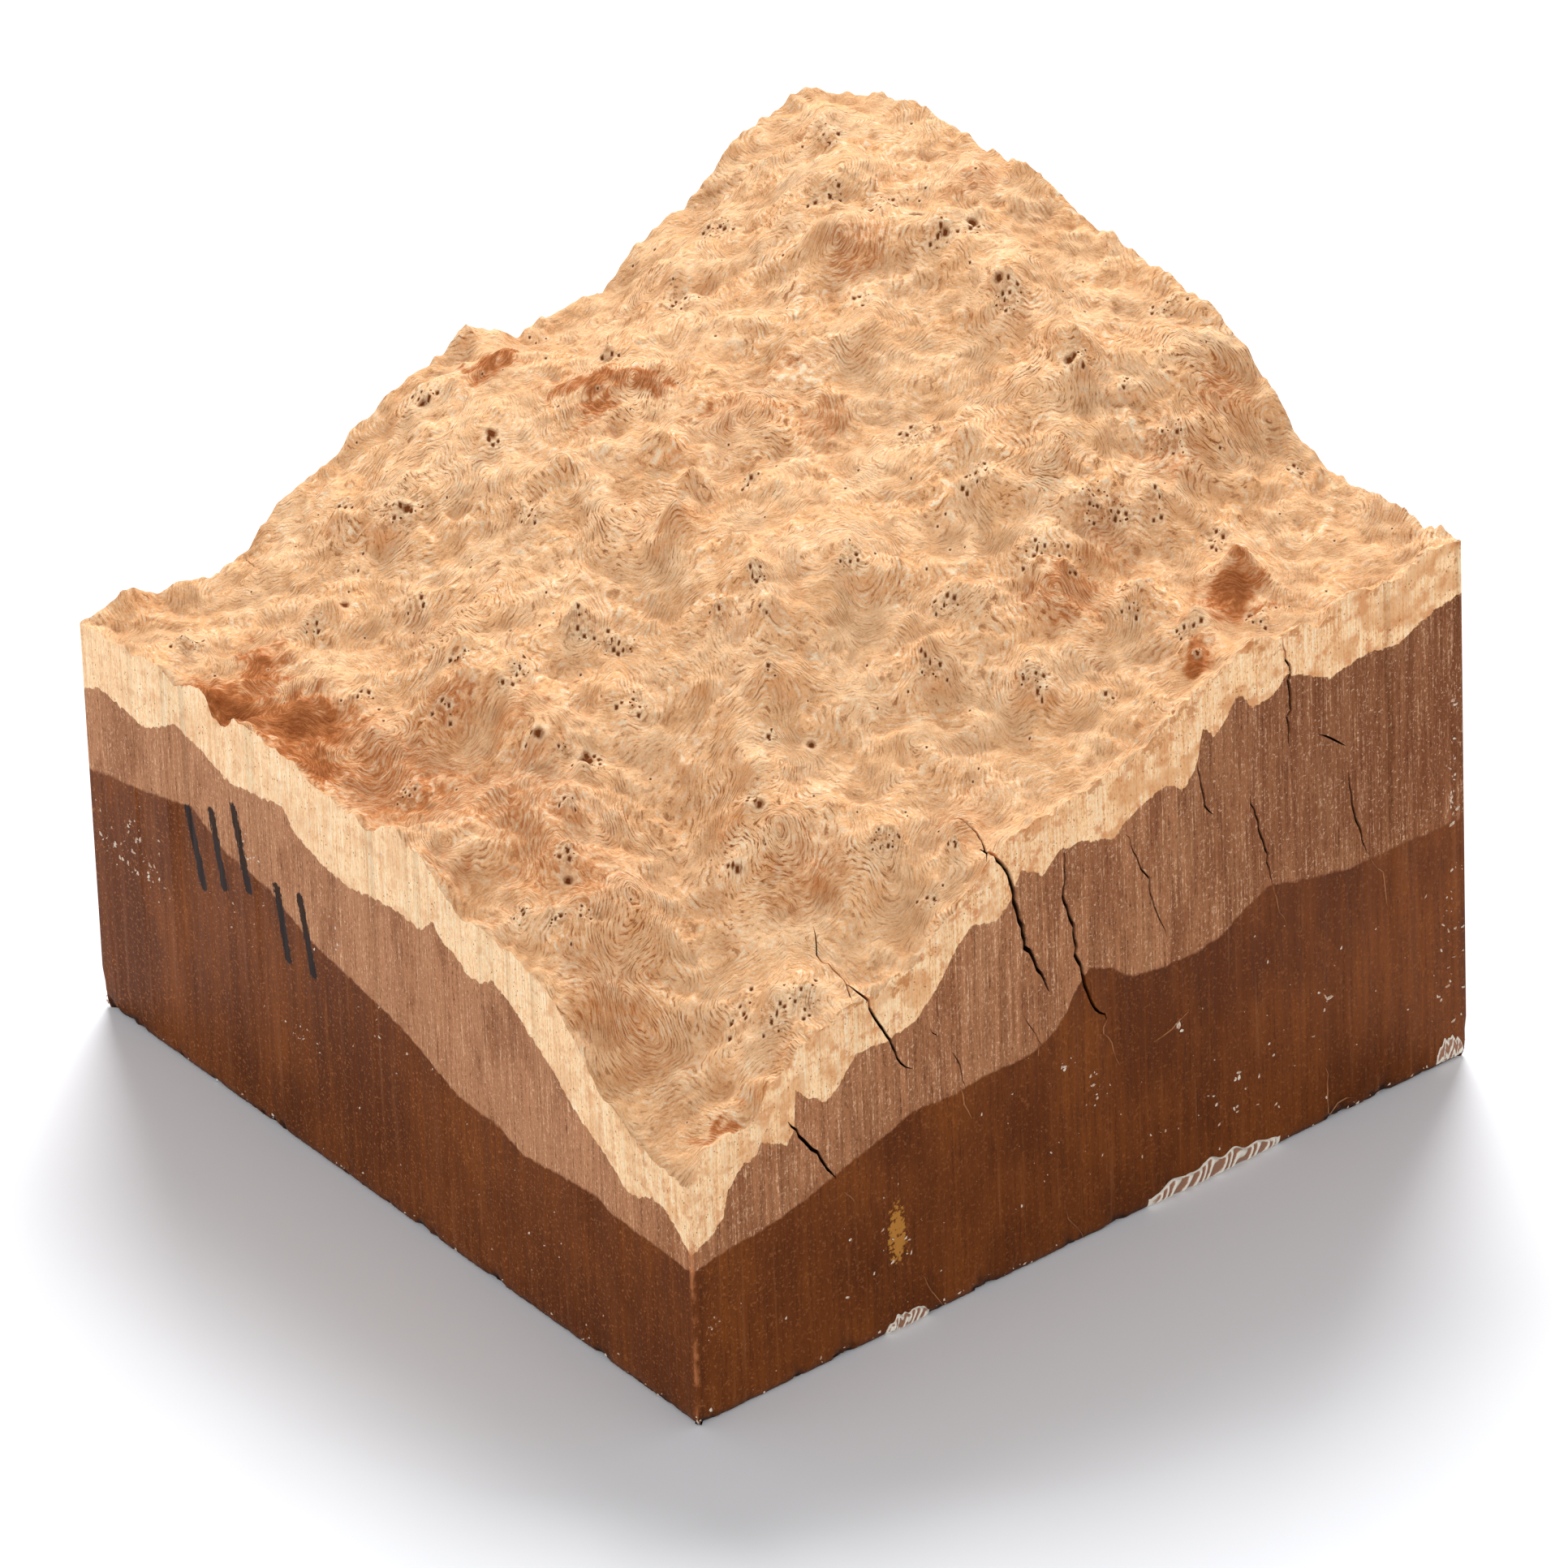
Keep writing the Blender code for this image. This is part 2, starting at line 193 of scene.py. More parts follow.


# %% [markdown]
# ## Mounds and buds
#
# Every mound on a burl has a bud trace at its heart. The larger ones were placed where
# the picture shows them: millimetres from the left face, from the front face, reach
# and height. Smaller buds come one to a square of a loose grid, so that none touch and no
# patch stays empty. Each one is a pointed dome, which is how the real ones stand.

# %% The mounds
MOUNDS = [
    (7, 127, 5, 2.5), (23, 116, 6, 4.0), (29, 135, 6, 4.0), (14, 104, 6, 4.5), (12, 88, 5, 4.0),
    (45, 122, 7, 4.0), (60, 138, 5, 3.0), (70, 131, 6, 4.5), (76, 108, 10, 6.0), (86, 89, 8, 5.0),
    (59, 86, 8, 4.5), (36, 92, 8, 6.0), (57, 100, 6, 4.0), (71, 94, 3, 5.0), (70, 85, 3, 5.0),
    (64, 80, 3, 6.0), (29, 89, 4, 4.0), (23, 84, 5, 4.5), (30, 79, 5, 4.0), (28, 71, 4, 4.0),
    (39, 64, 6, 3.0), (43, 78, 5, 4.0), (76, 76, 5, 3.0), (62, 62, 4, 4.0), (58, 54, 4, 4.5),
    (54, 46, 4, 4.5), (121, 61, 5, 6.0), (112, 58, 7, 4.5), (108, 48, 8, 4.5), (136, 52, 7, 4.5),
    (130, 42, 6, 3.0), (118, 36, 5, 4.0), (107, 39, 5, 3.0), (98, 51, 4, 4.0), (100, 59, 3, 4.5),
    (92, 68, 5, 2.5), (74, 55, 5, 4.0), (78, 48, 4, 3.0), (82, 39, 5, 3.0), (97, 38, 6, 4.5),
    (93, 29, 7, 5.0), (102, 21, 4, 4.5), (116, 18, 6, 8.0), (105, 12, 4, 4.0), (73, 34, 4, 4.5),
    (83, 23, 6, 4.5), (43, 36, 5, 4.5), (38, 26, 8, 6.0), (17, 35, 8, 6.0), (6, 45, 5, 3.0),
    (15, 47, 5, 4.0), (23, 53, 5, 4.5), (8, 62, 5, 3.0), (26, 66, 4, 4.0), (10, 24, 6, 4.0),
    (23, 9, 7, 4.0), (49, 17, 7, 4.5), (11, 4, 3, 2.5), (121, 119, 7, 4.5), (114, 105, 8, 7.0),
    (127, 97, 5, 4.5), (127, 87, 7, 4.5), (124, 77, 6, 6.0), (139, 103, 5, 4.0), (60, 120, 6, 3.0),
    (89, 116, 7, 4.0), (101, 127, 7, 4.0), (98, 102, 6, 4.0), (105, 90, 6, 4.0), (134, 131, 6, 4.0),
    (137, 24, 6, 2.5), (62, 22, 5, 3.0)]
MOUND_POINT = 1.3
MOUND_WANDER = 1.4 * MM
MOUND_LEVEL = 2.7 * MM
MOUND_EDGE = 3 * MM
BUD_PITCH = 9 * MM
BUD_REACH = (2.4 * MM, 3.6 * MM)
BUD_HEIGHT = (0.6 * MM, 2.0 * MM)
BUD_SEED = 11
# How far a bud or a nub may stray from its even spacing, as a share of that spacing
STRAY_SHARE = 0.45


def buds():
    """Rows of place, reach and height: the middle of each square plus a seeded stray."""
    random = np.random.default_rng(BUD_SEED)
    across, back = np.meshgrid(np.arange(BUD_PITCH / 2, WIDTH, BUD_PITCH),
                               np.arange(BUD_PITCH / 2, DEPTH, BUD_PITCH))
    count = across.size
    stray = random.uniform(-STRAY_SHARE, STRAY_SHARE, (2, count)) * BUD_PITCH
    reach = random.uniform(*BUD_REACH, count)
    height = random.uniform(*BUD_HEIGHT, count)
    return np.stack([across.ravel() + stray[0], back.ravel() + stray[1], reach, height], axis=1)


ALL_MOUNDS = np.vstack([np.array(MOUNDS, float) * MM, buds()])
print(len(MOUNDS), "mounds and", len(ALL_MOUNDS) - len(MOUNDS), "small buds")


def wander(u, v):
    """A place moved a little by crossed sine waves, so that no mound's outline is a circle."""
    return (u + MOUND_WANDER * np.sin(v / (6 * MM) + 1.3) * np.cos(u / (9 * MM)),
            v + MOUND_WANDER * np.sin(u / (5 * MM) + 0.4) * np.cos(v / (8 * MM)))


def to_rim(u, v):
    """The distance to the nearest of the four rims."""
    return np.minimum.reduce([u, v, WIDTH - u, DEPTH - v])


def mounds(u, v):
    """The sum of height * exp(-(distance / reach) ** point), less its mean, and flattened
    at the rims, where the rims' own bumps take over."""
    strayed_u, strayed_v = wander(u, v)
    total = np.zeros(u.shape)
    for mound_u, mound_v, reach, height in ALL_MOUNDS:
        away = np.hypot(strayed_u - mound_u, strayed_v - mound_v)
        total += height * np.exp(-(away / reach) ** MOUND_POINT)
    return (total - MOUND_LEVEL) * (1 - np.exp(-(to_rim(u, v) / MOUND_EDGE) ** 2))


# %% [markdown]
# ## Fine relief
#
# Between the mounds the real surface is never smooth. Fine folds could come from a
# displacement modifier and a texture, but here they are a sum of many faint waves in
# random directions, which repeats exactly on each run. Where such a sum passes through
# nought it is raised to a thin crest, which gives crumpled patches. Pinholes sit in small
# groups, the eyes of the burl. Each hole is pushed in at one point of the mesh, and a
# group also has a few sharp pimples. The rims carry a row of small nubs, which show
# against the light, and the saw has torn a notch in the left one.

# %% A field of faint waves
def ripples(u, v, wavelength, seed, count=28):
    """The sum of many sine waves of about one wavelength, each with its own direction and
    start, scaled so that the field's usual size is 1."""
    random = np.random.default_rng(seed)
    turn = random.uniform(0, 2 * np.pi, count)
    length = wavelength * random.uniform(0.75, 1.35, count)
    start = random.uniform(0, 2 * np.pi, count)
    total = np.zeros(u.shape)
    for angle, period, phase in zip(turn, length, start):
        total += np.sin(2 * np.pi * (u * np.cos(angle) + v * np.sin(angle)) / period + phase)
    return total / np.sqrt(count / 2)


# %% The eyes: millimetres from the left face, from the front face, spread and holes
EYES = [
    (59, 136, 3, 7), (57, 116, 2, 5), (42, 118, 4, 9), (51, 100, 3, 6), (22, 114, 2, 6), (8, 128, 3, 8),
    (31, 77, 2, 5), (40, 62, 3, 7), (24, 65, 1.5, 3), (27, 62, 1.5, 3), (9, 76, 2.5, 7), (29, 58, 2.5, 6),
    (21, 52, 2, 5), (32, 29, 1.2, 4), (5, 44, 2, 5), (8, 39, 2, 6), (39, 33, 2, 5), (48, 40, 1.5, 4),
    (53, 46, 1.5, 4), (58, 54, 1.5, 4), (62, 60, 2, 5), (74, 52, 3, 9), (80, 39, 3, 9), (72, 32, 2.5, 6),
    (81, 20, 3, 9), (49, 15, 3, 8), (56, 8, 2, 5), (49, 5, 2, 5), (21, 13, 3, 10), (22, 7, 3, 10),
    (26, 6, 3, 8), (119, 115, 3, 8), (124, 108, 3, 7), (124, 94, 3, 8), (129, 92, 2.5, 6),
    (121, 74, 3, 9), (120, 57, 2.5, 10), (125, 52, 2, 5), (125, 42, 3, 8), (97, 52, 3, 10),
    (98, 68, 4, 9), (107, 38, 4, 11), (110, 36, 3, 6), (116, 34, 2, 6), (141, 32, 2, 5),
    (95, 36, 3.5, 12), (97, 31, 1.2, 4), (121, 26, 3, 8), (103, 12, 2, 6), (140, 62, 3, 8),
    (27, 86, 2, 5), (21, 82, 2, 6), (28, 76, 2, 5), (42, 77, 3, 9), (45, 72, 3, 8), (76, 79, 2, 7),
    (56, 62, 2, 4), (100, 21, 2, 4), (101, 7, 1.5, 3), (12, 37, 2, 5), (15, 46, 2, 4), (40, 131, 2, 4),
    (40, 120, 3, 6), (80, 118, 3, 6), (109, 95, 3, 7), (95, 120, 3, 6), (110, 130, 3, 7),
    (130, 128, 3, 6), (33, 104, 2, 4), (17, 96, 2, 5), (88, 12, 2, 5), (113, 8, 2, 4), (67, 70, 1.5, 3)]
# Single wider holes: millimetres from the left face, from the front face, and radius
WIDE_HOLES = [
    (28.4, 58.9, 0.9), (29.5, 59.6, 0.6), (24.5, 64.4, 0.7), (21, 51.9, 0.6), (13.4, 43.5, 0.6),
    (39.1, 31.8, 0.6), (32.1, 27.9, 0.6), (52.7, 36.1, 0.6), (125, 101, 0.8), (129.6, 93.6, 0.8),
    (124.6, 93.7, 0.6), (122, 77.4, 0.7), (57.6, 134.7, 0.7), (41.8, 118.2, 0.7), (57, 116.8, 0.8),
    (27, 114.4, 0.7), (119, 57.6, 0.7)]
HOLE_RADIUS = (0.18 * MM, 0.4 * MM)
PIMPLES_PER_EYE = 3
PIMPLE_REACH = 1.0 * MM
PIMPLE_HEIGHT = (0.5 * MM, 1.5 * MM)
STRAY_HOLES = 140
STRAY_RADIUS = (0.14 * MM, 0.26 * MM)
EYE_SEED = 5
RIM_NUB_PITCH = 5.2 * MM
RIM_NUB_HEIGHT = (0.1 * MM, 1.3 * MM)
RIM_NUB_INSET = (0.0, 1.6 * MM)
RIM_NUB_SEED = 6


def eye_points():
    """Holes as rows of place and radius, and pimples as rows of place and height, scattered
    round each eye in a long patch that is turned its own way."""
    random = np.random.default_rng(EYE_SEED)
    holes, pimples = [], []
    for u, v, spread, count in np.array(EYES, float) * (MM, MM, MM, 1):
        count = int(count)
        turn = random.uniform(0, np.pi)
        long_way = np.array([np.cos(turn), np.sin(turn)])
        short_way = np.array([-np.sin(turn), np.cos(turn)])
        scatter = (random.normal(0, spread * 0.5, (count, 1)) * long_way
                   + random.normal(0, spread * 0.26, (count, 1)) * short_way)
        holes.append(np.column_stack([scatter + (u, v), random.uniform(*HOLE_RADIUS, count)]))
        scatter = random.normal(0, spread * 0.7, (PIMPLES_PER_EYE, 2))
        pimples.append(np.column_stack([scatter + (u, v), random.uniform(*PIMPLE_HEIGHT, PIMPLES_PER_EYE)]))
    strays = np.column_stack([random.uniform(2 * MM, WIDTH - 2 * MM, STRAY_HOLES),
                              random.uniform(2 * MM, DEPTH - 2 * MM, STRAY_HOLES),
                              random.uniform(*STRAY_RADIUS, STRAY_HOLES)])
    return np.vstack(holes + [strays, np.array(WIDE_HOLES) * MM]), np.vstack(pimples)


def rim_nubs():
    """Nubs as rows of place and height: evenly spaced along each rim plus a seeded stray,
    and most of them low."""
    random = np.random.default_rng(RIM_NUB_SEED)
    nubs = []
    sides = [(DEPTH, lambda run, inset: (inset, run)), (DEPTH, lambda run, inset: (WIDTH - inset, run)),
             (WIDTH, lambda run, inset: (run, inset)), (WIDTH, lambda run, inset: (run, DEPTH - inset))]
    for length, place_of in sides:
        run = np.arange(RIM_NUB_PITCH / 2, length, RIM_NUB_PITCH)
        run = run + random.uniform(-STRAY_SHARE, STRAY_SHARE, len(run)) * RIM_NUB_PITCH
        inset = random.uniform(*RIM_NUB_INSET, len(run))
        low, high = RIM_NUB_HEIGHT
        height = low + (high - low) * random.uniform(0, 1, len(run)) ** 2.2
        nubs.append(np.column_stack([*place_of(run, inset), height]))
    return np.vstack(nubs)


HOLES, PIMPLES = eye_points()
PIMPLES = np.vstack([PIMPLES, rim_nubs()])
print(len(HOLES), "pinholes,", len(PIMPLES), "pimples")

# %% [markdown]
# ## The grid that carries the surface
#
# All that varies over the top is worked out once on a fine square grid and kept as whole
# arrays: the height, and then the fields that the finish will read. Half a millimetre is
# fine enough for a pinhole and keeps the mesh under the triangle limit.

# %% The grid and the height
CELLS_ACROSS, CELLS_BACK = 284, 282
GRID_U = np.linspace(0, WIDTH, CELLS_ACROSS + 1)
GRID_V = np.linspace(0, DEPTH, CELLS_BACK + 1)
U, V = np.meshgrid(GRID_U, GRID_V, indexing="ij")
CELL = WIDTH / CELLS_ACROSS
HOLE_DEPTH = 0.9
FOLDS = [(7.0 * MM, 0.22 * MM, 21), (3.4 * MM, 0.15 * MM, 22), (1.9 * MM, 0.09 * MM, 23)]
CREST_SIZE = 0.28 * MM
CREST_LENGTH = 5.0 * MM
CREST_SEED = 24
RIM_RAG, RIM_RAG_LENGTH, RIM_RAG_REACH = 0.13 * MM, 2.4 * MM, 1.5 * MM
NOTCH_PLACE = (0.0, 109.5 * MM)
NOTCH_REACH = (5.0 * MM, 3.0 * MM)
NOTCH_DEPTH = 2.2 * MM


def on_grid(points):
    """The points' first two columns moved to the nearest grid point."""
    nearest = points.copy()
    nearest[:, 0] = np.round(nearest[:, 0] / CELL) * CELL
    nearest[:, 1] = np.round(nearest[:, 1] / (DEPTH / CELLS_BACK)) * (DEPTH / CELLS_BACK)
    return nearest


def apart(points):
    """The widest points first, and none that touches the square of one already kept."""
    kept = []
    for point in points[np.argsort(-points[:, 2], kind="stable")]:
        if all(max(abs(point[0] - other[0]), abs(point[1] - other[1])) > 1.5 * CELL for other in kept):
            kept.append(point)
    return np.array(kept)


def add_near(field, points, reach, shape):
    """Shape the field in a small square round each point, by its distance from the point."""
    half = int(reach / CELL) + 1
    for point in points:
        i, j = int(round(point[0] / CELL)), int(round(point[1] / (DEPTH / CELLS_BACK)))
        rows = slice(max(i - half, 0), i + half + 1)
        columns = slice(max(j - half, 0), j + half + 1)
        away = np.hypot(U[rows, columns] - point[0], V[rows, columns] - point[1])
        field[rows, columns] = shape(field[rows, columns], away, point)


def dimple(field, away, point):
    """The field less depth * radius * exp(-(distance / (1.1 * radius)) ** 2)."""
    return field - HOLE_DEPTH * point[2] * np.exp(-(away / (1.1 * point[2])) ** 2)


def pimple(field, away, point):
    """The field plus height * exp(-(distance / reach) ** 1.2)."""
    return field + point[2] * np.exp(-(away / PIMPLE_REACH) ** 1.2)


def crests(u, v):
    """size * exp(-(wave / 0.3) ** 2), in patches where a longer wave is high."""
    patch = np.clip(ripples(u, v, 17 * MM, CREST_SEED + 1) * 0.8 + 0.35, 0, 1)
    return CREST_SIZE * patch * np.exp(-(ripples(u, v, CREST_LENGTH, CREST_SEED) / 0.3) ** 2)


def notch(u, v):
    """Minus depth times exp(-(distance in an ellipse) ** 4), which has steep sides."""
    across, along = (u - NOTCH_PLACE[0]) / NOTCH_REACH[0], (v - NOTCH_PLACE[1]) / NOTCH_REACH[1]
    return -NOTCH_DEPTH * np.exp(-(across ** 2 + along ** 2) ** 2)


HOLES = apart(on_grid(HOLES))
fine = sum(size * ripples(U, V, length, seed) for length, size, seed in FOLDS) + crests(U, V)
fine += (RIM_RAG * ripples(U, V, RIM_RAG_LENGTH, CREST_SEED + 2)
         * np.exp(-(to_rim(U, V) / RIM_RAG_REACH) ** 2))
add_near(fine, PIMPLES, 3.5 * MM, pimple)
HEIGHT = block_form(U, V) + rim_bumps(U, V) + valley(U, V) + mounds(U, V) + notch(U, V) + fine
SMOOTH_HEIGHT = HEIGHT.copy()
add_near(HEIGHT, HOLES, 2 * MM, dimple)
print("top from", round(HEIGHT.min() / MM, 1), "to", round(HEIGHT.max() / MM, 1), "mm")


# %% [markdown]
# ## Fields for the finish
#
# The ring lines of a burl run round every bud and crowd together where two mounds meet.
# A plain height would give lines that bunch on steep slopes. So the lines follow the
# distance to the nearest bud, measured over the surface, with the joins between
# neighbours rounded off. The other fields mark pinholes, hollows and the orange stains.

# %% The ring field
RING_JOIN = 0.55
RING_START = 1.1
RING_CLIMB = 0.3
RING_SEED = 8
RING_LEAST_REACH = 5 * MM
RING_STRAY, RING_STRAY_LENGTH = 1.1 * MM, 11 * MM
RING_FINE_SHARE = 0.3
WIDE_MOUNDS = ALL_MOUNDS[:len(MOUNDS)]
WIDE_MOUNDS = WIDE_MOUNDS[WIDE_MOUNDS[:, 2] >= RING_LEAST_REACH]
CLEAR_RINGS = [
    (86, 89), (59, 86), (36, 92), (75, 105), (38, 26), (17, 35), (113, 60), (108, 49), (136, 52),
    (132, 42), (10, 24), (31, 43), (93, 29), (12, 88), (45, 122)]
CLEAR_REACH = 8 * MM


def ring_field(u, v, relief):
    """-log(sum of exp(-k * (distance - start))) / k, in millimetres, over the wide mounds.
    Each distance is squeezed across the mound's own direction, larger mounds start earlier,
    and the small relief is added so that the lines bend round every bump."""
    random = np.random.default_rng(RING_SEED)
    strayed_u = u + RING_STRAY * ripples(u, v, RING_STRAY_LENGTH, 31)
    strayed_v = v + RING_STRAY * ripples(u, v, RING_STRAY_LENGTH, 32)
    total = np.zeros(u.shape)
    for mound_u, mound_v, reach in WIDE_MOUNDS[:, :3]:
        turn, squeeze = random.uniform(0, np.pi), random.uniform(1.0, 1.7)
        run_u, run_v = strayed_u - mound_u, strayed_v - mound_v
        along = run_u * np.cos(turn) + run_v * np.sin(turn)
        across = (run_v * np.cos(turn) - run_u * np.sin(turn)) * squeeze
        away = np.hypot(along, across) / MM
        total += np.exp(-RING_JOIN * (away - RING_START * reach / MM))
    return -np.log(total + 1e-12) / RING_JOIN - RING_CLIMB * relief / MM


def clear_field(u, v):
    """1 at the rings that stand out in the picture, fading as exp(-(distance / reach) ** 2)."""
    field = np.zeros(u.shape)
    for at_u, at_v in np.array(CLEAR_RINGS, float) * MM:
        field = np.maximum(field, np.exp(-((u - at_u) ** 2 + (v - at_v) ** 2) / CLEAR_REACH ** 2))
    return field


RING = ring_field(U, V, mounds(U, V) + RING_FINE_SHARE * fine)
CLEAR = clear_field(U, V)
print("ring field from", round(float(RING.min()), 1), "to", round(float(RING.max()), 1), "mm")


# %% Hollows, pinholes and stains
def blurred(field, reach):
    """The field averaged over a square window, twice, by running sums."""
    half = int(reach / CELL)
    for axis in (0, 1, 0, 1):
        padded = np.pad(field, [(half + 1, half) if a == axis else (0, 0) for a in (0, 1)], mode="edge")
        total = np.cumsum(padded, axis=axis)
        high = np.take(total, np.arange(2 * half + 1, total.shape[axis]), axis=axis)
        low = np.take(total, np.arange(0, total.shape[axis] - 2 * half - 1), axis=axis)
        field = (high - low) / (2 * half + 1)
    return field


HOLLOW = (blurred(SMOOTH_HEIGHT, 4 * MM) - SMOOTH_HEIGHT) / MM
HOLLOW_WIDE = (blurred(SMOOTH_HEIGHT, 9 * MM) - SMOOTH_HEIGHT) / MM
SLOPE = np.hypot(*np.gradient(blurred(SMOOTH_HEIGHT, 1 * MM), CELL))


def surface_distance(points, reach):
    """The least distance from each grid point to the points, up hill and down, divided by
    each point's own radius. It is looked for out to reach times the widest radius."""
    field = np.full(U.shape, 5 * reach)
    half = int(reach * points[:, 2].max() / CELL) + 1
    for at_u, at_v, radius in points:
        i, j = int(round(at_u / CELL)), int(round(at_v / (DEPTH / CELLS_BACK)))
        i, j = min(max(i, 0), CELLS_ACROSS), min(max(j, 0), CELLS_BACK)
        part = (slice(max(i - half, 0), i + half + 1), slice(max(j - half, 0), j + half + 1))
        rise = SMOOTH_HEIGHT[part] - SMOOTH_HEIGHT[i, j]
        away = np.sqrt((U[part] - at_u) ** 2 + (V[part] - at_v) ** 2 + rise ** 2)
        field[part] = np.minimum(field[part], away / radius)
    return field


PIT = surface_distance(HOLES, 4.0)
EYE = surface_distance(np.array(EYES, float)[:, :3] * MM, 3.0)

# Stains: millimetres from the left face, from the front face, half length, half width,
# turn in degrees, strength
STAINS = [
    (3, 110, 9, 5.5, 95, 1.35), (8, 100, 11, 5.5, 115, 1.1), (12, 115, 8, 4, 60, 0.95),
    (3, 92, 9, 4, 95, 1.1), (10, 78, 22, 11, 100, 0.55), (17, 60, 18, 10, 110, 0.46),
    (14, 45, 16, 9, 100, 0.46), (8, 26, 14, 7, 95, 0.42), (69, 132, 5, 4.5, 30, 1.05),
    (73, 113, 7, 3, -60, 1.05), (78, 107, 5, 2.4, -50, 0.9), (70, 108, 4, 3, 20, 0.9),
    (113, 14, 5.5, 4.5, 20, 1.15), (101, 7, 3.4, 2.4, 40, 0.95), (94, 29, 7, 6, 0, 0.55),
    (106, 34, 6, 4, 30, 0.45), (92, 82, 6, 4, 10, 0.5), (115, 102, 6, 5, 0, 0.5),
    (137, 102, 5, 4, 0, 0.5), (83, 93, 6, 5, 0, 0.45), (137, 45, 7, 5, 0, 0.5), (123, 40, 6, 5, 0, 0.45),
    (39, 20, 8, 6, 0, 0.4), (60, 12, 7, 5, 20, 0.35), (22, 82, 6, 5, 30, 0.55), (27, 71, 5, 4, 0, 0.45),
    (3, 58, 9, 6, 90, 0.35), (4, 46, 7, 6, 90, 0.3), (113, 102, 5, 4.5, 20, 0.55),
    (95, 94, 6, 4, -30, 0.4), (8, 3, 3.4, 1.8, -10, 0.95), (121, 74, 4, 3, 0, 0.4),
    (125, 42, 6, 5, 20, 0.35), (40, 28, 5, 4, 0, 0.3), (86, 88, 6, 5, 0, 0.35), (30, 100, 5, 4, 0, 0.3)]
STAIN_FRAY, STAIN_FRAY_LENGTH = 0.9 * MM, 3.5 * MM


def stain_field(u, v):
    """The largest of strength * exp(-(distance in each ellipse) squared), with frayed edges."""
    frayed_u = u + STAIN_FRAY * ripples(u, v, STAIN_FRAY_LENGTH, 41)
    frayed_v = v + STAIN_FRAY * ripples(u, v, STAIN_FRAY_LENGTH, 42)
    field = np.zeros(u.shape)
    for at_u, at_v, length, width, turn, strength in np.array(STAINS, float):
        run_u, run_v = frayed_u / MM - at_u, frayed_v / MM - at_v
        angle = np.radians(turn)
        along = (run_u * np.cos(angle) + run_v * np.sin(angle)) / length
        across = (run_v * np.cos(angle) - run_u * np.sin(angle)) / width
        field = np.maximum(field, strength * np.exp(-(along ** 2 + across ** 2) ** 1.15))
    return field


STAIN = stain_field(U, V)
print("hollow up to", round(float(HOLLOW.max()), 2), "mm")
print("stained share", round(float((STAIN > 0.3).mean()), 3))

# %% [markdown]
# ## The closed mesh
#
# The grid becomes the top. The saw left the sides plain, so each side is one tall row of
# faces from the rim down to where the foot rounds in, and then a few low rows. Each column
# stands in or out by a few hundredths of a millimetre, which is the mark of the band saw.

# %% The ring of columns round the block
SAW_MARK = 0.035 * MM
SAW_SEED = 3
FOOT_ROWS = np.array([7.0, 4.5, 3.0, 2.0, 1.2, 0.6, 0.2, 0.0]) * MM
FOOT_INSET = 0.9 * MM
FOOT_HEIGHT = 3.0 * MM
FOOT_CHIPS = 0.3 * MM
WORN_CORNER = 1.4 * MM


def edge_loop(index):
    """The point numbers round the edge of a grid, in one direction."""
    return np.concatenate([index[:-1, 0], index[-1, :-1], index[:0:-1, -1], index[0, :0:-1]])


def squares(index):
    """The four corner numbers of every square of a grid."""
    return np.stack([index[:-1, :-1], index[1:, :-1], index[1:, 1:], index[:-1, 1:]], axis=-1).reshape(-1, 4)


grid_index = np.arange((CELLS_ACROSS + 1) * (CELLS_BACK + 1)).reshape(CELLS_ACROSS + 1, CELLS_BACK + 1)
RIM_LOOP = edge_loop(grid_index)
RIM_U, RIM_V = U.ravel()[RIM_LOOP], V.ravel()[RIM_LOOP]
OUT_X = np.where(RIM_U < CELL / 2, -1.0, 0.0) + np.where(RIM_U > WIDTH - CELL / 2, 1.0, 0.0)
OUT_Y = np.where(RIM_V < CELL / 2, -1.0, 0.0) + np.where(RIM_V > DEPTH - CELL / 2, 1.0, 0.0)
RUN = np.arange(len(RIM_LOOP)) * CELL


def wave_ring(count, low, high, seed):
    """A closed curve: sine waves that fit a whole number of times round the block."""
    random = np.random.default_rng(seed)
    part = np.linspace(0, 2 * np.pi, count, endpoint=False)
    total = np.zeros(count)
    for times in random.integers(low, high, 40):
        total += np.sin(times * part + random.uniform(0, 2 * np.pi))
    return total / np.sqrt(20)


saw = SAW_MARK * (0.7 * wave_ring(len(RUN), 200, 480, SAW_SEED)
                  + 0.6 * wave_ring(len(RUN), 40, 140, SAW_SEED + 1))
saw -= saw.max()


# %% The points and faces
def foot_curve(z):
    """How far the foot is drawn in at a height: a quarter circle, nought above its height."""
    low = np.clip(1 - z / FOOT_HEIGHT, 0, 1)
    return FOOT_INSET * (1 - np.sqrt(1 - low ** 2))


def foot_ring(z, number):
    """One low ring of points: drawn in along a quarter circle, chipped where a closed wave is
    high, less so upwards, and drawn in further at two worn corners."""
    fade = np.clip(1 - z / FOOT_ROWS[0], 0, 1) ** 1.5
    wave = 0.8 * wave_ring(len(RUN), 12, 70, 60) + 0.5 * wave_ring(len(RUN), 90, 300, 70 + number)
    inset = foot_curve(z) + FOOT_CHIPS * fade * np.clip(wave - 0.35, 0, 3) - saw
    corner = (OUT_X * OUT_Y < 0) * WORN_CORNER * fade
    x = RIM_U - WIDTH / 2 - OUT_X * (inset + corner)
    y = RIM_V - DEPTH / 2 - OUT_Y * (inset + corner)
    return np.column_stack([x, y, np.full(len(RUN), z)])


top_points = np.column_stack([U.ravel() - WIDTH / 2, V.ravel() - DEPTH / 2, HEIGHT.ravel()])
top_points[RIM_LOOP, 0] += OUT_X * saw
top_points[RIM_LOOP, 1] += OUT_Y * saw
rings = [foot_ring(z, number) for number, z in enumerate(FOOT_ROWS)]
points = np.vstack([top_points] + rings + [[[0.0, 0.0, 0.0]]])

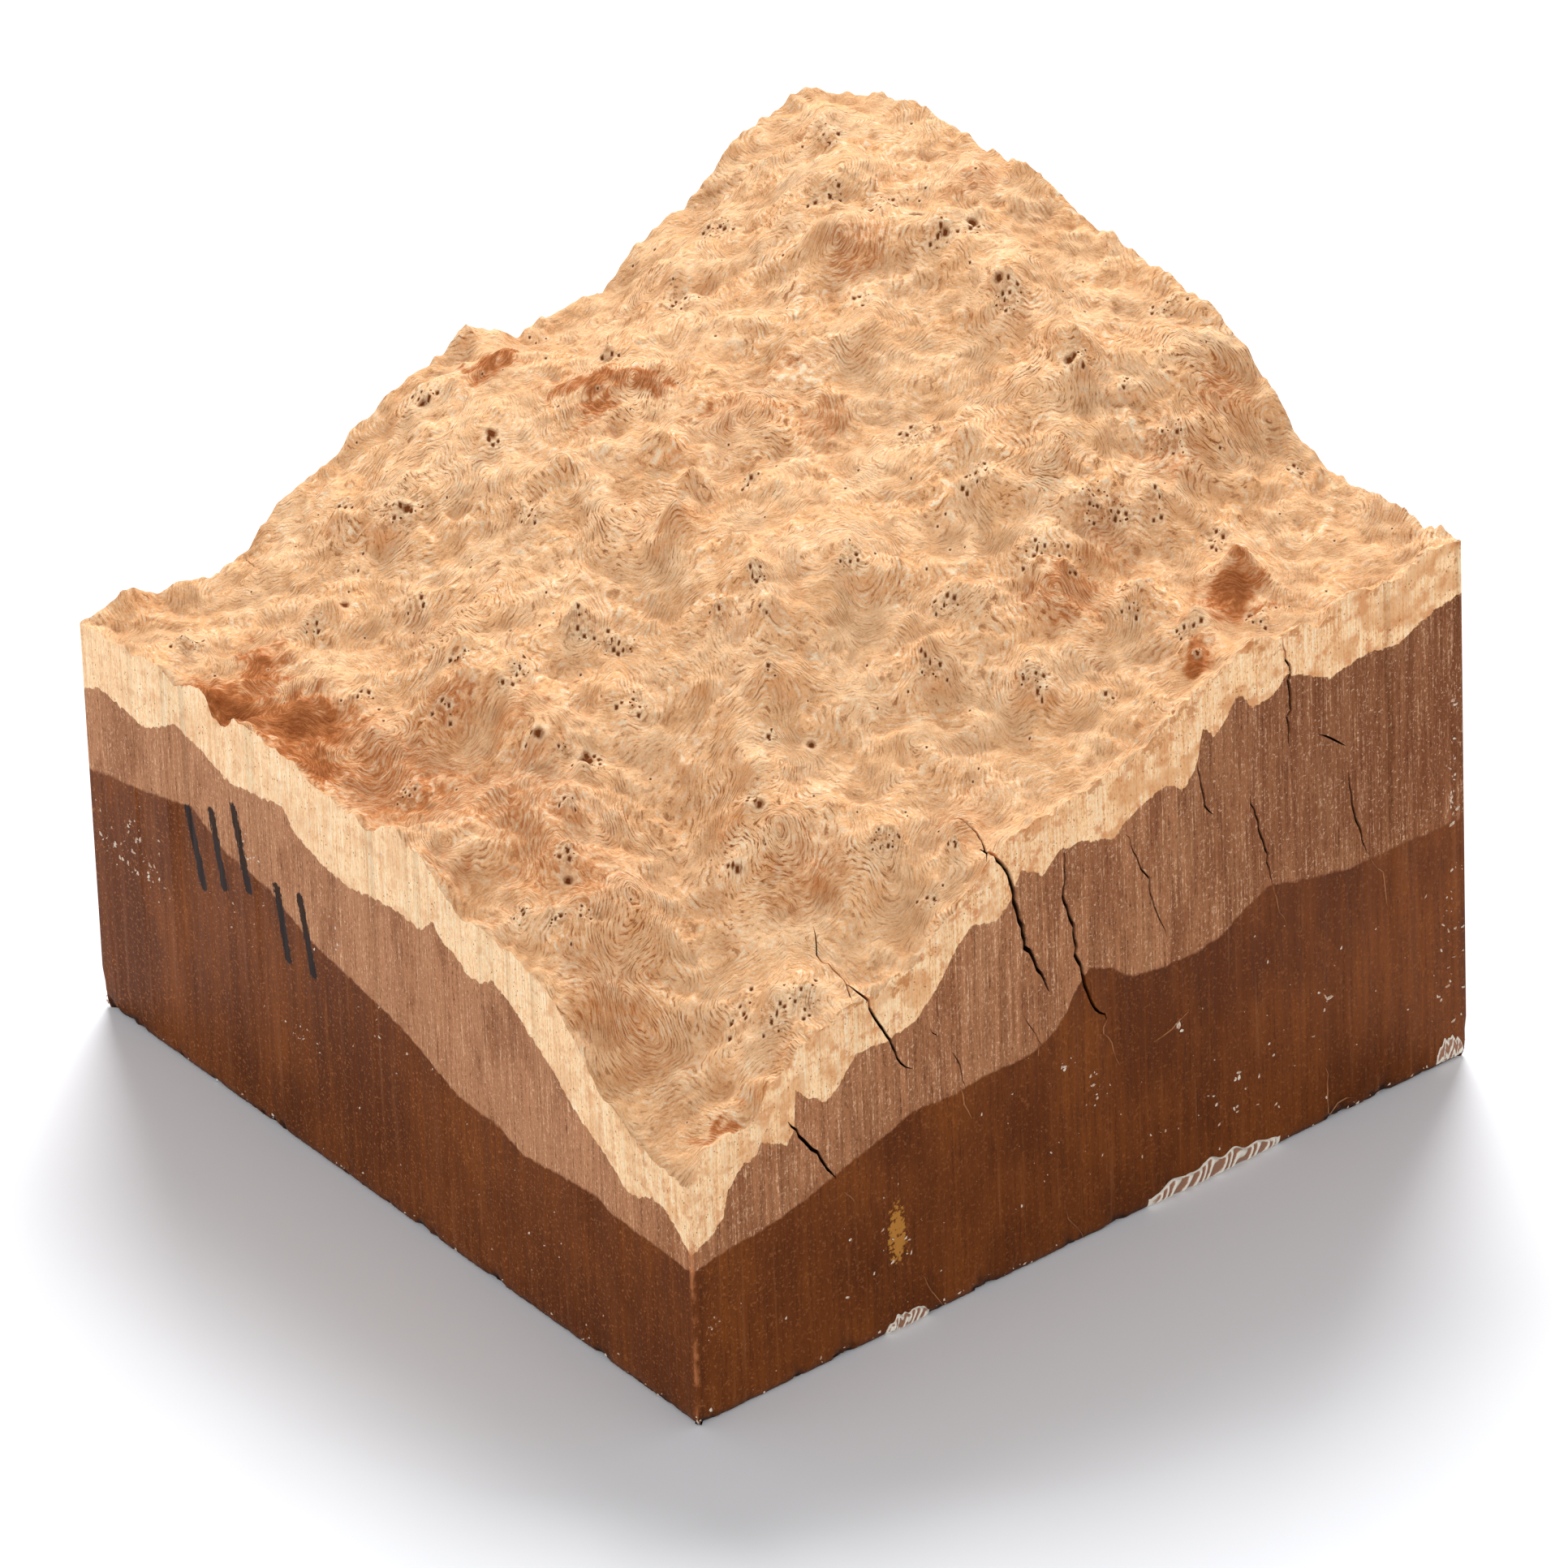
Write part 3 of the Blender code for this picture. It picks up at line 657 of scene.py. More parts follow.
top_faces = squares(grid_index)
ring_index = [RIM_LOOP] + [len(top_points) + k * len(RUN) + np.arange(len(RUN)) for k in range(len(rings))]
side_faces = np.vstack([np.column_stack([upper, lower, np.roll(lower, -1), np.roll(upper, -1)])
                        for upper, lower in zip(ring_index[:-1], ring_index[1:])])
base_ring = ring_index[-1]
base_faces = np.column_stack([np.roll(base_ring, -1), base_ring, np.full(len(base_ring), len(points) - 1)])
print(len(points), "points,", 2 * (len(top_faces) + len(side_faces)) + len(base_faces), "triangles")


# %% A mesh object from arrays
def mesh_object(name, points, *face_blocks):
    """Points and blocks of faces as a linked object at the origin."""
    mesh = bpy.data.meshes.new(name)
    faces = [[int(corner) for corner in face] for block in face_blocks for face in block]
    mesh.from_pydata(np.asarray(points).tolist(), [], faces)
    mesh.update()
    made = bpy.data.objects.new(name, mesh)
    bpy.context.scene.collection.objects.link(made)
    return made


burl = mesh_object("burl_wood", points, top_faces, side_faces, base_faces)

# %% [markdown]
# ## Drying cracks
#
# Wood cracks as it dries, across the sapwood and down into the heartwood. Dark lines in
# the colour would look flat at an angle, so the wider cracks are real slots: each is a
# wedge that follows a ragged path, wide at the mouth and closing inwards, and a Boolean
# takes it out of the block.

# %% The crack paths, in millimetres: width, depth, then points from the left face and up
FRONT_CRACKS = [
    (0.85, 6, [(55.8, 79), (57.8, 72.6), (59.6, 69.8), (60.3, 67.3), (60.5, 64.7), (62, 58.7),
               (62.6, 55.6), (64.1, 52.5), (66.6, 46.3)]),
    (0.7, 6, [(69.7, 68.9), (70.3, 64.5), (69.6, 62.9), (69.7, 60.6), (71.4, 55), (71.8, 50.1),
              (73.5, 43.6), (74.4, 40.6), (77.1, 36.5)]),
    (0.55, 5, [(30.2, 65), (32.7, 60.5), (33.5, 59.2), (34.4, 56.5), (36.9, 51.5), (39, 46.2),
               (40.8, 44)]),
    (0.6, 5, [(18.3, 45.3), (19.8, 43), (21.3, 40.1), (23.2, 37.8), (24.6, 35.1), (26.5, 31.6)]),
    (0.6, 4, [(111.1, 88), (111.8, 83.9), (112.7, 81.8), (111.9, 80), (112.6, 75), (111.6, 74.4),
              (112, 68.7)]),
    (0.4, 3, [(117.5, 68.6), (119.6, 67.3), (121.3, 65.8), (122.5, 64.2)]),
    (0.5, 4, [(123, 59.7), (123.3, 57.1), (124, 52.4), (124.9, 49.6), (126.2, 44.3)]),
    (0.36, 3, [(81.4, 67.2), (83.1, 62.4), (85.4, 57.4), (86, 53.5), (88.3, 46.1)]),
    (0.45, 4, [(94.6, 73.5), (95.5, 69.6), (96.3, 65.1), (97.7, 63.2)]),
    (0.5, 4, [(104.4, 63.5), (105.5, 59.7), (106.7, 55.3), (108.2, 46.8)]),
    (0.25, 2, [(44.6, 49.6), (45.9, 47)]),
    (0.28, 3, [(48.5, 43.9), (49.7, 41.4), (50.1, 38.4), (50.6, 36.6)]),
    (0.22, 2, [(61.7, 44.2), (63.2, 41), (65, 37.4)])]
LEFT_CRACKS = [(0.25, 2, [(59, 38.9), (59.2, 35.8), (59.4, 32.4)])]
TOP_CRACKS = [
    (0.32, 3, [(56.2, 0.4), (58.5, 4), (60.2, 7), (60, 11), (57.5, 13.5), (55.5, 14.5)]),
    (0.28, 3, [(31, 0.4), (32.5, 3), (33, 7), (32.5, 10.5), (35, 14.5)]),
    (0.3, 3, [(30, 143.6), (28, 139), (27.5, 135)])]
CRACK_TIP = 0.25
CRACK_STEP = 1.2 * MM
CRACK_RAG = 0.13 * MM
CRACK_OVERRUN = 1.0 * MM
CRACK_SEED = 90


# %% One crack as a wedge
def ragged(path, random):
    """The path divided into short even steps, each point moved sideways by a seeded amount."""
    path = np.array(path, float) * MM
    length = np.concatenate([[0], np.cumsum(np.linalg.norm(np.diff(path, axis=0), axis=1))])
    steps = np.linspace(0, length[-1], max(int(length[-1] / CRACK_STEP), 4))
    line = np.column_stack([np.interp(steps, length, path[:, k]) for k in (0, 1)])
    run = np.gradient(line, axis=0)
    side = np.column_stack([-run[:, 1], run[:, 0]]) / np.linalg.norm(run, axis=1)[:, None]
    return line + side * random.normal(0, CRACK_RAG, (len(line), 1)), side


def tube(index):
    """The walls of a tube, from a table of point numbers with a row for each ring."""
    walls = []
    for here, beside in zip(index.T, np.roll(index, -1, axis=1).T):
        walls.append(np.stack([here[:-1], beside[:-1], beside[1:], here[1:]], axis=1))
    return np.concatenate(walls)


def face_outwards(piece):
    """All the faces of a closed mesh turned outwards."""
    shape = bmesh.new()
    shape.from_mesh(piece.data)
    bmesh.ops.recalc_face_normals(shape, faces=shape.faces)
    shape.to_mesh(piece.data)
    shape.free()


def wedge(mouth, across, inward, width, depth):
    """Four points at each step of the mouth's line: two stand proud of the wood and two lie
    deep in it, closer together. Width and depth follow the root of a half sine wave."""
    part = np.linspace(0, 1, len(mouth))[:, None]
    swell = CRACK_TIP + (1 - CRACK_TIP) * np.sqrt(np.sin(np.pi * part))
    half = width / 2 * swell
    outer = mouth - inward * CRACK_OVERRUN
    inner = mouth + inward * depth * swell
    ring = np.stack([outer + across * half * 1.2, outer - across * half * 1.2,
                     inner - across * half * 0.2, inner + across * half * 0.2], axis=1)
    index = np.arange(len(mouth) * 4).reshape(len(mouth), 4)
    return ring.reshape(-1, 3), tube(index), [index[0, ::-1], index[-1]]


def wedge_object(name, *wedge_parts):
    """The wedge as an object whose faces all point outwards."""
    points, walls, caps = wedge(*wedge_parts)
    made = mesh_object(name, points, walls, caps)
    face_outwards(made)
    return made


# %% All the wedges
def height_at(u, v, field=SMOOTH_HEIGHT):
    """A grid field read at any place, by straight mixing of its four neighbours."""
    i = np.clip(u / CELL, 0, CELLS_ACROSS - 1e-6)
    j = np.clip(v / (DEPTH / CELLS_BACK), 0, CELLS_BACK - 1e-6)
    i0, j0 = i.astype(int), j.astype(int)
    s, t = i - i0, j - j0
    return ((field[i0, j0] * (1 - s) + field[i0 + 1, j0] * s) * (1 - t)
            + (field[i0, j0 + 1] * (1 - s) + field[i0 + 1, j0 + 1] * s) * t)


def crack_wedges():
    """A wedge for each crack. Its path lies on the front face, on the left face or on the
    natural surface, and it runs straight into the wood from there."""
    random = np.random.default_rng(CRACK_SEED)
    wedges = []

    def add(name, mouth, across, inward, width, depth):
        wedges.append(wedge_object(name, mouth, across, np.array([inward]), width * MM, depth * MM))

    for width, depth, path in FRONT_CRACKS:
        line, side = ragged(path, random)
        flat = np.full(len(line), -DEPTH / 2)
        mouth = np.column_stack([line[:, 0] - WIDTH / 2, flat, line[:, 1]])
        across = np.column_stack([side[:, 0], flat * 0, side[:, 1]])
        add("front_crack", mouth, across, (0.0, 1.0, 0.0), width, depth)
    for width, depth, path in LEFT_CRACKS:
        line, side = ragged(path, random)
        flat = np.full(len(line), -WIDTH / 2)
        mouth = np.column_stack([flat, line[:, 0] - DEPTH / 2, line[:, 1]])
        across = np.column_stack([flat * 0, side[:, 0], side[:, 1]])
        add("left_crack", mouth, across, (1.0, 0.0, 0.0), width, depth)
    for width, depth, path in TOP_CRACKS:
        line, side = ragged(path, random)
        height = height_at(line[:, 0], line[:, 1])
        mouth = np.column_stack([line[:, 0] - WIDTH / 2, line[:, 1] - DEPTH / 2, height])
        across = np.column_stack([side, np.zeros(len(line))])
        add("top_crack", mouth, across, (0.0, 0.0, -1.0), width, depth)
    return wedges


def cut_out(piece, wedges):
    """Each wedge taken out of the piece, and the result kept as the piece's own mesh."""
    for cutter in wedges:
        modifier = piece.modifiers.new("crack", "BOOLEAN")
        modifier.operation, modifier.solver, modifier.object = "DIFFERENCE", "MANIFOLD", cutter
    bpy.context.view_layer.update()
    whole = bpy.data.meshes.new_from_object(piece.evaluated_get(bpy.context.evaluated_depsgraph_get()))
    piece.modifiers.clear()
    piece.data = whole
    for cutter in wedges:
        bpy.data.objects.remove(cutter)


cut_out(burl, crack_wedges())
print("after the cracks:", len(burl.data.vertices), "points,", len(burl.data.polygons), "faces")

# %% [markdown]
# ## Writing the fields on the mesh
#
# Cutting adds points, so the fields are read from the grid again at every point's place.
# The lines where sapwood ends and where the wax began are kept as heights: a point on a
# side carries the height of the line above or below it, and the finish compares that with
# its own height. So even a tall narrow face shows a sharp, wavy line.

# %% The sapwood line and the dip line on each face, in millimetres
SAP_LEFT = [
    (0, 30), (2, 32), (6, 35.5), (9, 35.8), (12, 34.2), (15, 33.8), (20, 38), (25, 40.8), (28, 43),
    (31, 46), (36, 49.4), (41, 53), (45, 54.8), (48, 52.8), (51, 52.6), (54, 55), (57, 55.5), (59, 58),
    (62, 55), (65, 55.3), (70, 55.3), (76, 54.4), (80, 53.6), (86, 54.6), (92, 56.7), (95, 60), (100, 59),
    (108, 57.6), (115, 60.2), (121, 61.5), (125, 58.9), (129, 57), (135, 57.9), (140, 58.5), (144, 56.5)]
SAP_FRONT = [
    (0, 30), (4, 32.2), (6, 34), (7, 38.2), (10, 41.7), (12.6, 42), (13, 43.9), (15, 43.2), (18, 41.3),
    (19.6, 44), (19.9, 50), (22, 47.9), (25, 45.8), (27, 46.6), (31, 51.4), (37, 51.2), (42, 52.1),
    (46, 56), (50, 61.5), (53, 63.9), (57, 62.5), (60, 65), (62, 69.5), (66, 66.7), (69, 69.4),
    (73, 69.3), (79, 67.3), (82, 69.5), (87, 71.8), (90, 71.7), (92, 69.8), (94.5, 72.6), (96, 78.9),
    (98, 76.8), (100, 78.2), (102, 81.3), (103.6, 81.2), (105, 78.4), (109, 78.9), (112, 81.4),
    (114, 80.4), (120, 77.3), (127, 78.7), (133, 77.6), (138, 80.1), (145, 81.4)]
SAP_BACK = [
    (0, 56.5), (16, 57), (30, 56), (42, 63), (58, 70), (78, 75), (98, 75), (108, 81), (124, 90),
    (145, 88)]
SAP_RIGHT = [
    (0, 81.4), (12, 80), (27, 77), (40, 83), (58, 93), (80, 94), (95, 98), (116, 98), (130, 95),
    (144, 88)]
LOBE_DEPTH = 3.0
LOBE_WIDTH = 12.0
DIP_LEFT = [
    (0, 27.3), (11, 27.8), (19, 27.8), (22, 29.1), (28, 28.5), (40, 27.3), (45, 29.3), (55, 29.7),
    (62, 32.7), (69, 35.2), (77, 36.7), (86, 38.4), (92, 40), (99, 43.2), (110, 44.5), (118, 48.5),
    (126, 46.3), (144, 42.4)]
DIP_FRONT = [
    (0, 27.3), (6, 28.4), (15, 29.2), (22, 30.9), (29, 33.2), (37, 35.5), (41, 37), (48, 36.4),
    (54, 37.1), (62, 36.9), (66, 38.3), (69, 40.5), (71, 44), (74, 47), (78, 45.4), (81, 42.5),
    (87, 41.2), (94, 41), (99, 41.9), (103, 44.6), (108, 46.5), (115, 44.5), (123, 42.9), (145, 42.4)]
DIP_BACK = [(0, 42.4), (20, 40), (45, 35), (70, 38), (95, 46), (120, 50), (145, 47)]
DIP_RIGHT = [(0, 42.4), (25, 45), (50, 40), (80, 46), (110, 52), (144, 47)]


# %% The fields at the mesh's points
def line_height(u, v, left, front, back, right, lobe_depth=0.0):
    """The height in millimetres of a line that runs round the block, read on the nearest
    face. On the two hidden faces lobes hang from it: minus depth * |sine of the run|."""
    gaps = np.stack([u, v, DEPTH - v, WIDTH - u])
    heights = []
    for run, line, depth in ((v, left, 0), (u, front, 0), (u, back, lobe_depth), (v, right, lobe_depth)):
        along, height = np.array(line, float).T
        run = run / MM
        fade = np.clip(np.minimum(run, along[-1] - run) / 5, 0, 1)
        lobes = np.abs(np.sin(np.pi * run / LOBE_WIDTH + 1.3 * np.sin(run / 11)))
        heights.append(np.interp(run, along, height) - depth * fade * lobes)
    return np.choose(np.argmin(gaps, axis=0), heights)


def give(piece, name, values):
    """A number at every point of the mesh, for the finish to read by name."""
    field = piece.data.attributes.new(name, "FLOAT", "POINT")
    field.data.foreach_set("value", np.ascontiguousarray(values, dtype=np.float32))


count = len(burl.data.vertices)
spots = np.zeros(count * 3)
burl.data.vertices.foreach_get("co", spots)
spots = spots.reshape(-1, 3)
spot_u = np.clip(spots[:, 0] + WIDTH / 2, 0, WIDTH)
spot_v = np.clip(spots[:, 1] + DEPTH / 2, 0, DEPTH)
SURFACE_FIELDS = {"ring": RING, "clear": CLEAR, "slope": SLOPE, "hollow_shade": HOLLOW, "wide_hollow_shade": HOLLOW_WIDE,
                  "pit": PIT, "eye": EYE, "stain": STAIN}
for name, field in SURFACE_FIELDS.items():
    give(burl, name, height_at(spot_u, spot_v, field))
give(burl, "sap_line", line_height(spot_u, spot_v, SAP_LEFT, SAP_FRONT, SAP_BACK, SAP_RIGHT, LOBE_DEPTH))
give(burl, "dip_line", line_height(spot_u, spot_v, DIP_LEFT, DIP_FRONT, DIP_BACK, DIP_RIGHT))
below_top = height_at(spot_u, spot_v, HEIGHT) - spots[:, 2]
# How deep each point lies in the wood, which sets the painted shade on the crack walls.
shade_depth = np.minimum(to_rim(spot_u, spot_v), below_top)
give(burl, "shade_depth", np.clip(shade_depth / MM, 0, 5))
give(burl, "below", below_top / MM)
print("fields:", ", ".join(sorted(attribute.name for attribute in burl.data.attributes)))

# %% [markdown]
# ## Shader sums
#
# A finish is a sum of small effects, and long chains of Math nodes are hard to read. One
# small class lets them be written as ordinary sums.


# %% A shader socket that takes part in sums
class Wire:
    """One output of a shader node. Sums of wires add Math nodes to the wire's tree."""

    def __init__(self, tree, socket):
        self.tree, self.socket = tree, socket

    def node(self, kind, settings=None, sockets=None, output=0):
        """Add a node: its settings first, then its sockets, as wires or values. Gives one of
        its outputs."""
        made = self.tree.nodes.new(kind)
        for name, value in (settings or {}).items():
            setattr(made, name, value)
        for name, value in (sockets or {}).items():
            if isinstance(value, Wire):
                self.tree.links.new(value.socket, made.inputs[name])
            else:
                made.inputs[name].default_value = value
        return Wire(self.tree, made.outputs[output])

    def maths(self, operation, *values):
        """One Math node over the values."""
        return self.node("ShaderNodeMath", {"operation": operation}, dict(enumerate(values)))

    def sine(self):
        return self.maths("SINE", self)

    def larger(self, other):
        return self.maths("MAXIMUM", self, other)

    def smaller(self, other):
        return self.maths("MINIMUM", self, other)

    def __add__(self, other):
        return self.maths("ADD", self, other)

    def __sub__(self, other):
        return self.maths("SUBTRACT", self, other)

    def __rsub__(self, other):
        return self.maths("SUBTRACT", other, self)

    def __mul__(self, other):
        return self.maths("MULTIPLY", self, other)

    __radd__, __rmul__ = __add__, __mul__

    def __pow__(self, other):
        return self.maths("POWER", self, other)

    def between(self, low, high):
        """0 below low, 1 above high, and a smooth step between; low may be the larger."""
        return self.node("ShaderNodeMapRange", {"interpolation_type": "SMOOTHSTEP"},
                         {"Value": self, "From Min": low, "From Max": high})

    def scaled(self, x, y, z):
        """A place with each of its three numbers multiplied."""
        return self.node("ShaderNodeVectorMath", {"operation": "MULTIPLY"}, {0: self, 1: (x, y, z)})

    def noise(self, scale=1.0, detail=3.0, rough=0.5):
        """Soft noise from 0 to 1 over the place that this wire carries."""
        return self.node("ShaderNodeTexNoise", {},
                         {"Vector": self, "Scale": scale, "Detail": detail, "Roughness": rough})

    def cells(self, scale=1.0):
        """The distance to the nearest of many scattered points."""
        return self.node("ShaderNodeTexVoronoi", {}, {"Vector": self, "Scale": scale})

    def mixed(self, low, high):
        """A colour that is the first where this wire is 0 and the second where it is 1."""
        return self.node("ShaderNodeMix", {"data_type": "RGBA"}, {0: self, 6: low, 7: high}, output=2)

    def towards(self, colour, share):
        """This colour mixed with another, by a share from 0 to 1."""
        return share.mixed(self, colour)

    def times(self, value):
        """This colour made lighter or darker by a number."""
        return self.node("ShaderNodeVectorMath", {"operation": "SCALE"}, {0: self, "Scale": value})


# %% Starting a finish
def paint(red, green, blue):
    """A colour as read from a picture, 0 to 255, turned to the light it stands for."""
    values = np.array([red, green, blue]) / 255
    light = np.where(values <= 0.04045, values / 12.92, ((values + 0.055) / 1.055) ** 2.4)
    return (*light.tolist(), 1.0)


def start_finish(name):
    """A material, its shader node, and a wire with the place on the object in millimetres."""
    material = bpy.data.materials.new(name)
    material.use_nodes = True
    tree = material.node_tree
    shader = tree.nodes["Principled BSDF"]
    coordinates = tree.nodes.new("ShaderNodeTexCoord")
    return material, shader, Wire(tree, coordinates.outputs["Object"]).scaled(1 / MM, 1 / MM, 1 / MM)


def read(place, name):
    """A field of the mesh, by name."""
    return place.node("ShaderNodeAttribute", {"attribute_name": name}, output=2)


def axes(place):
    """The three numbers of a place."""
    return [place.node("ShaderNodeSeparateXYZ", {}, {0: place}, output=k) for k in range(3)]


def joined(x, y, z):
    """Three numbers as a place."""
    first = next(value for value in (x, y, z) if isinstance(value, Wire))
    return first.node("ShaderNodeCombineXYZ", {}, {0: x, 1: y, 2: z})


def link(shader, socket, wire):
    """Feed one of the shader's own sockets."""
    wire.tree.links.new(wire.socket, shader.inputs[socket])


def roughen(shader, relief, strength, depth):
    """Bump from a relief, with the depth in metres."""
    sockets = {"Strength": strength, "Distance": depth, "Height": relief}
    link(shader, "Normal", relief.node("ShaderNodeBump", {}, sockets))


# %% [markdown]
# ## The natural surface
#
# The debarked burl is pale peach tan. Fine brown lines follow the rings, but they break
# up, fork and fade, so they aren't plain stripes: noise is stretched along the rings by
# reading it at the ring number and, more slowly, at the place. Hollows get painted shade,
# some mounds are stained orange brown, and every pinhole is dark brown with a pale rim,
# its dark partly painted shade. A picture of wood could be wrapped round the block
# instead, but it would stretch on the slopes and couldn't know where the buds are.


# %% The natural surface's finish
RING_PITCH = 0.72


def natural_surface():
    """Tan wood, then the lines and slopes, painted shade in the hollows, the stains, the grain, and last the
    pits.
    """
    material, shader, place = start_finish("natural burl surface")
    x, y, _ = axes(place)
    crinkle = place.noise(0.8, 3.0)
    ring = read(place, "ring") + place.noise(0.25, 1.0) * 1.0 + crinkle * 0.55
    streaks = joined(ring * 2.7, x * 0.7, y * 0.7).noise(1.0, 2.0, 0.6)
    hairs = joined(ring * 6.5, x * 1.1, y * 1.1).noise(1.0, 3.0, 0.65)
    wide_streaks = joined(ring * 1.1, x * 0.14, y * 0.14).noise(1.0, 2.0, 0.5)
    beat = (ring * (2 * math.pi / RING_PITCH)).sine() * place.noise(0.25, 1.0).between(0.35, 0.65)
    lines = beat * 0.08 + streaks * 0.68 + hairs * 0.7 - 0.19
    # Painted shade: these two masks measure how far the surface lies below its blurred self, and darken the
    # colour there.
    hollow_shade = read(place, "hollow_shade").between(-0.15, 0.8)
    wide = read(place, "wide_hollow_shade").between(-0.2, 2.0)
    bold = read(place, "clear") * 0.6 + read(place, "slope").between(0.35, 1.1) * 0.45
    patch = place.noise(0.11, 3.0).between(0.36, 0.6)
    spots = place.noise(0.36, 2.0).between(0.38, 0.6)
    bold = bold + patch * 0.15 + spots * 0.3
    eye = (read(place, "eye") + (place.noise(0.7, 2.0) - 0.5) * 1.2).between(1.15, 0.6)

    tan = place.noise(0.13, 3.0).between(0.38, 0.62).mixed(paint(255, 206, 157), paint(248, 192, 139))
    tan = tan.towards(paint(208, 142, 90), wide_streaks.between(0.5, 0.7) * (0.12 + bold * 0.3))
    tan = tan.towards(paint(254, 230, 196), lines.between(0.52, 0.66) * (0.6 + patch * 0.35))
    tan = tan.towards(paint(142, 84, 46), lines.between(0.48, 0.32) * (0.25 + bold * 0.7))
    steep = read(place, "slope").between(0.6, 1.5) * place.noise(0.16, 2.0).between(0.4, 0.6)
    tan = tan.towards(paint(208, 134, 76), steep * 0.5)
    # Painted shade in the wide and the narrow hollows, towards a duller greyish brown.
    tan = tan.towards(paint(220, 176, 130), wide * 0.2)
    tan = tan.towards(paint(182, 126, 82), hollow_shade * 0.3)

    stain = read(place, "stain")
    stain_streaks = streaks.between(0.65, 0.35) * 0.5 + 0.6
    tan = tan.towards(paint(188, 110, 58), (stain * stain_streaks).between(0.05, 0.7) * 0.9)
    tan = tan.towards(paint(136, 74, 38), (stain * stain_streaks).between(0.55, 1.1) * 0.6)

    grain = place.noise(3.2, 2.0)
    tan = tan.times(0.73 + grain * 0.42)
    flakes = place.noise(1.3, 2.0)
    tan = tan.towards(paint(172, 126, 86), eye * flakes.between(0.5, 0.62) * 0.6)
    tan = tan.towards(paint(255, 230, 194), eye * flakes.between(0.46, 0.38) * 0.45)
    pores = place.cells(1.15) + (place.noise(0.8, 0.0) - 0.5) * 0.3
    pit = read(place, "pit") + (place.noise(2.6, 1.0) - 0.5) * 0.4
    tan = tan.towards(paint(252, 224, 186), pit.between(3.2, 1.9) * 0.3)
    tan = tan.towards(paint(140, 88, 50), pit.between(1.7, 1.0) * 0.75)
    # Painted shade in part: the holes' dark brown stands for the wood's own colour and for the shade down
    # holes deeper than the mesh's dimples; the pores in the eyes have no dimple.
    hole = pit.between(1.0, 0.7).larger(pores.between(0.2, 0.15) * eye)
    tan = tan.towards(paint(112, 58, 26), hole)

    knots = place.cells(0.42).between(0.55, 0.0) * spots
    relief = lines * 0.9 + grain * 0.3 + crinkle * 0.9 + knots * 1.6
    link(shader, "Base Color", tan)
    roughen(shader, relief, 0.75, 0.3 * MM)
    link(shader, "Roughness", 0.7 + lines * 0.1)
    shader.inputs["Specular IOR Level"].default_value = 0.01
    return material


# %% [markdown]
# ## The sawn faces
#
# One finish covers all four sides and the base, because on the real block one saw cut goes
# through all of it. Two lines, kept as heights on the mesh, part cream sapwood from dry
# heartwood and dry heartwood from the part that was dipped in wax. The saw left upright
# hairlines, so their noise is squeezed along the face and stretched upwards. The seller
# marked one face with a felt pen, and plain tally strokes stand for that mark: each is
# drawn where the distance to a short line is small, so its edge stays sharp close up.

# %% Marks on the sides, in millimetres
PEN_STROKES = [((119, 47.5), (116, 35.5)), ((113, 50), (110.8, 38)), ((107.3, 53.5), (104.6, 40.5)),
               ((97.5, 44.5), (95.6, 33)), ((91.8, 45.5), (89.4, 33.5))]
PEN_HALF_WIDTH = 0.85
PEN_BLUR = 0.12
# The gold patch: from the left face, up, half its width and half its height
GOLD_PATCH = (37.3, 17.0, 1.7, 5.6)


def stroke_distance(u, z, start, end):
    """The distance in millimetres to a straight pen stroke from start to end."""
    run_u, run_z = end[0] - start[0], end[1] - start[1]
    from_u, from_z = u - start[0], z - start[1]
    part = (from_u * run_u + from_z * run_z) * (1 / (run_u ** 2 + run_z ** 2))
    part = part.node("ShaderNodeClamp", {}, {0: part})
    off_u, off_z = from_u - part * run_u, from_z - part * run_z
    return (off_u * off_u + off_z * off_z) ** 0.5


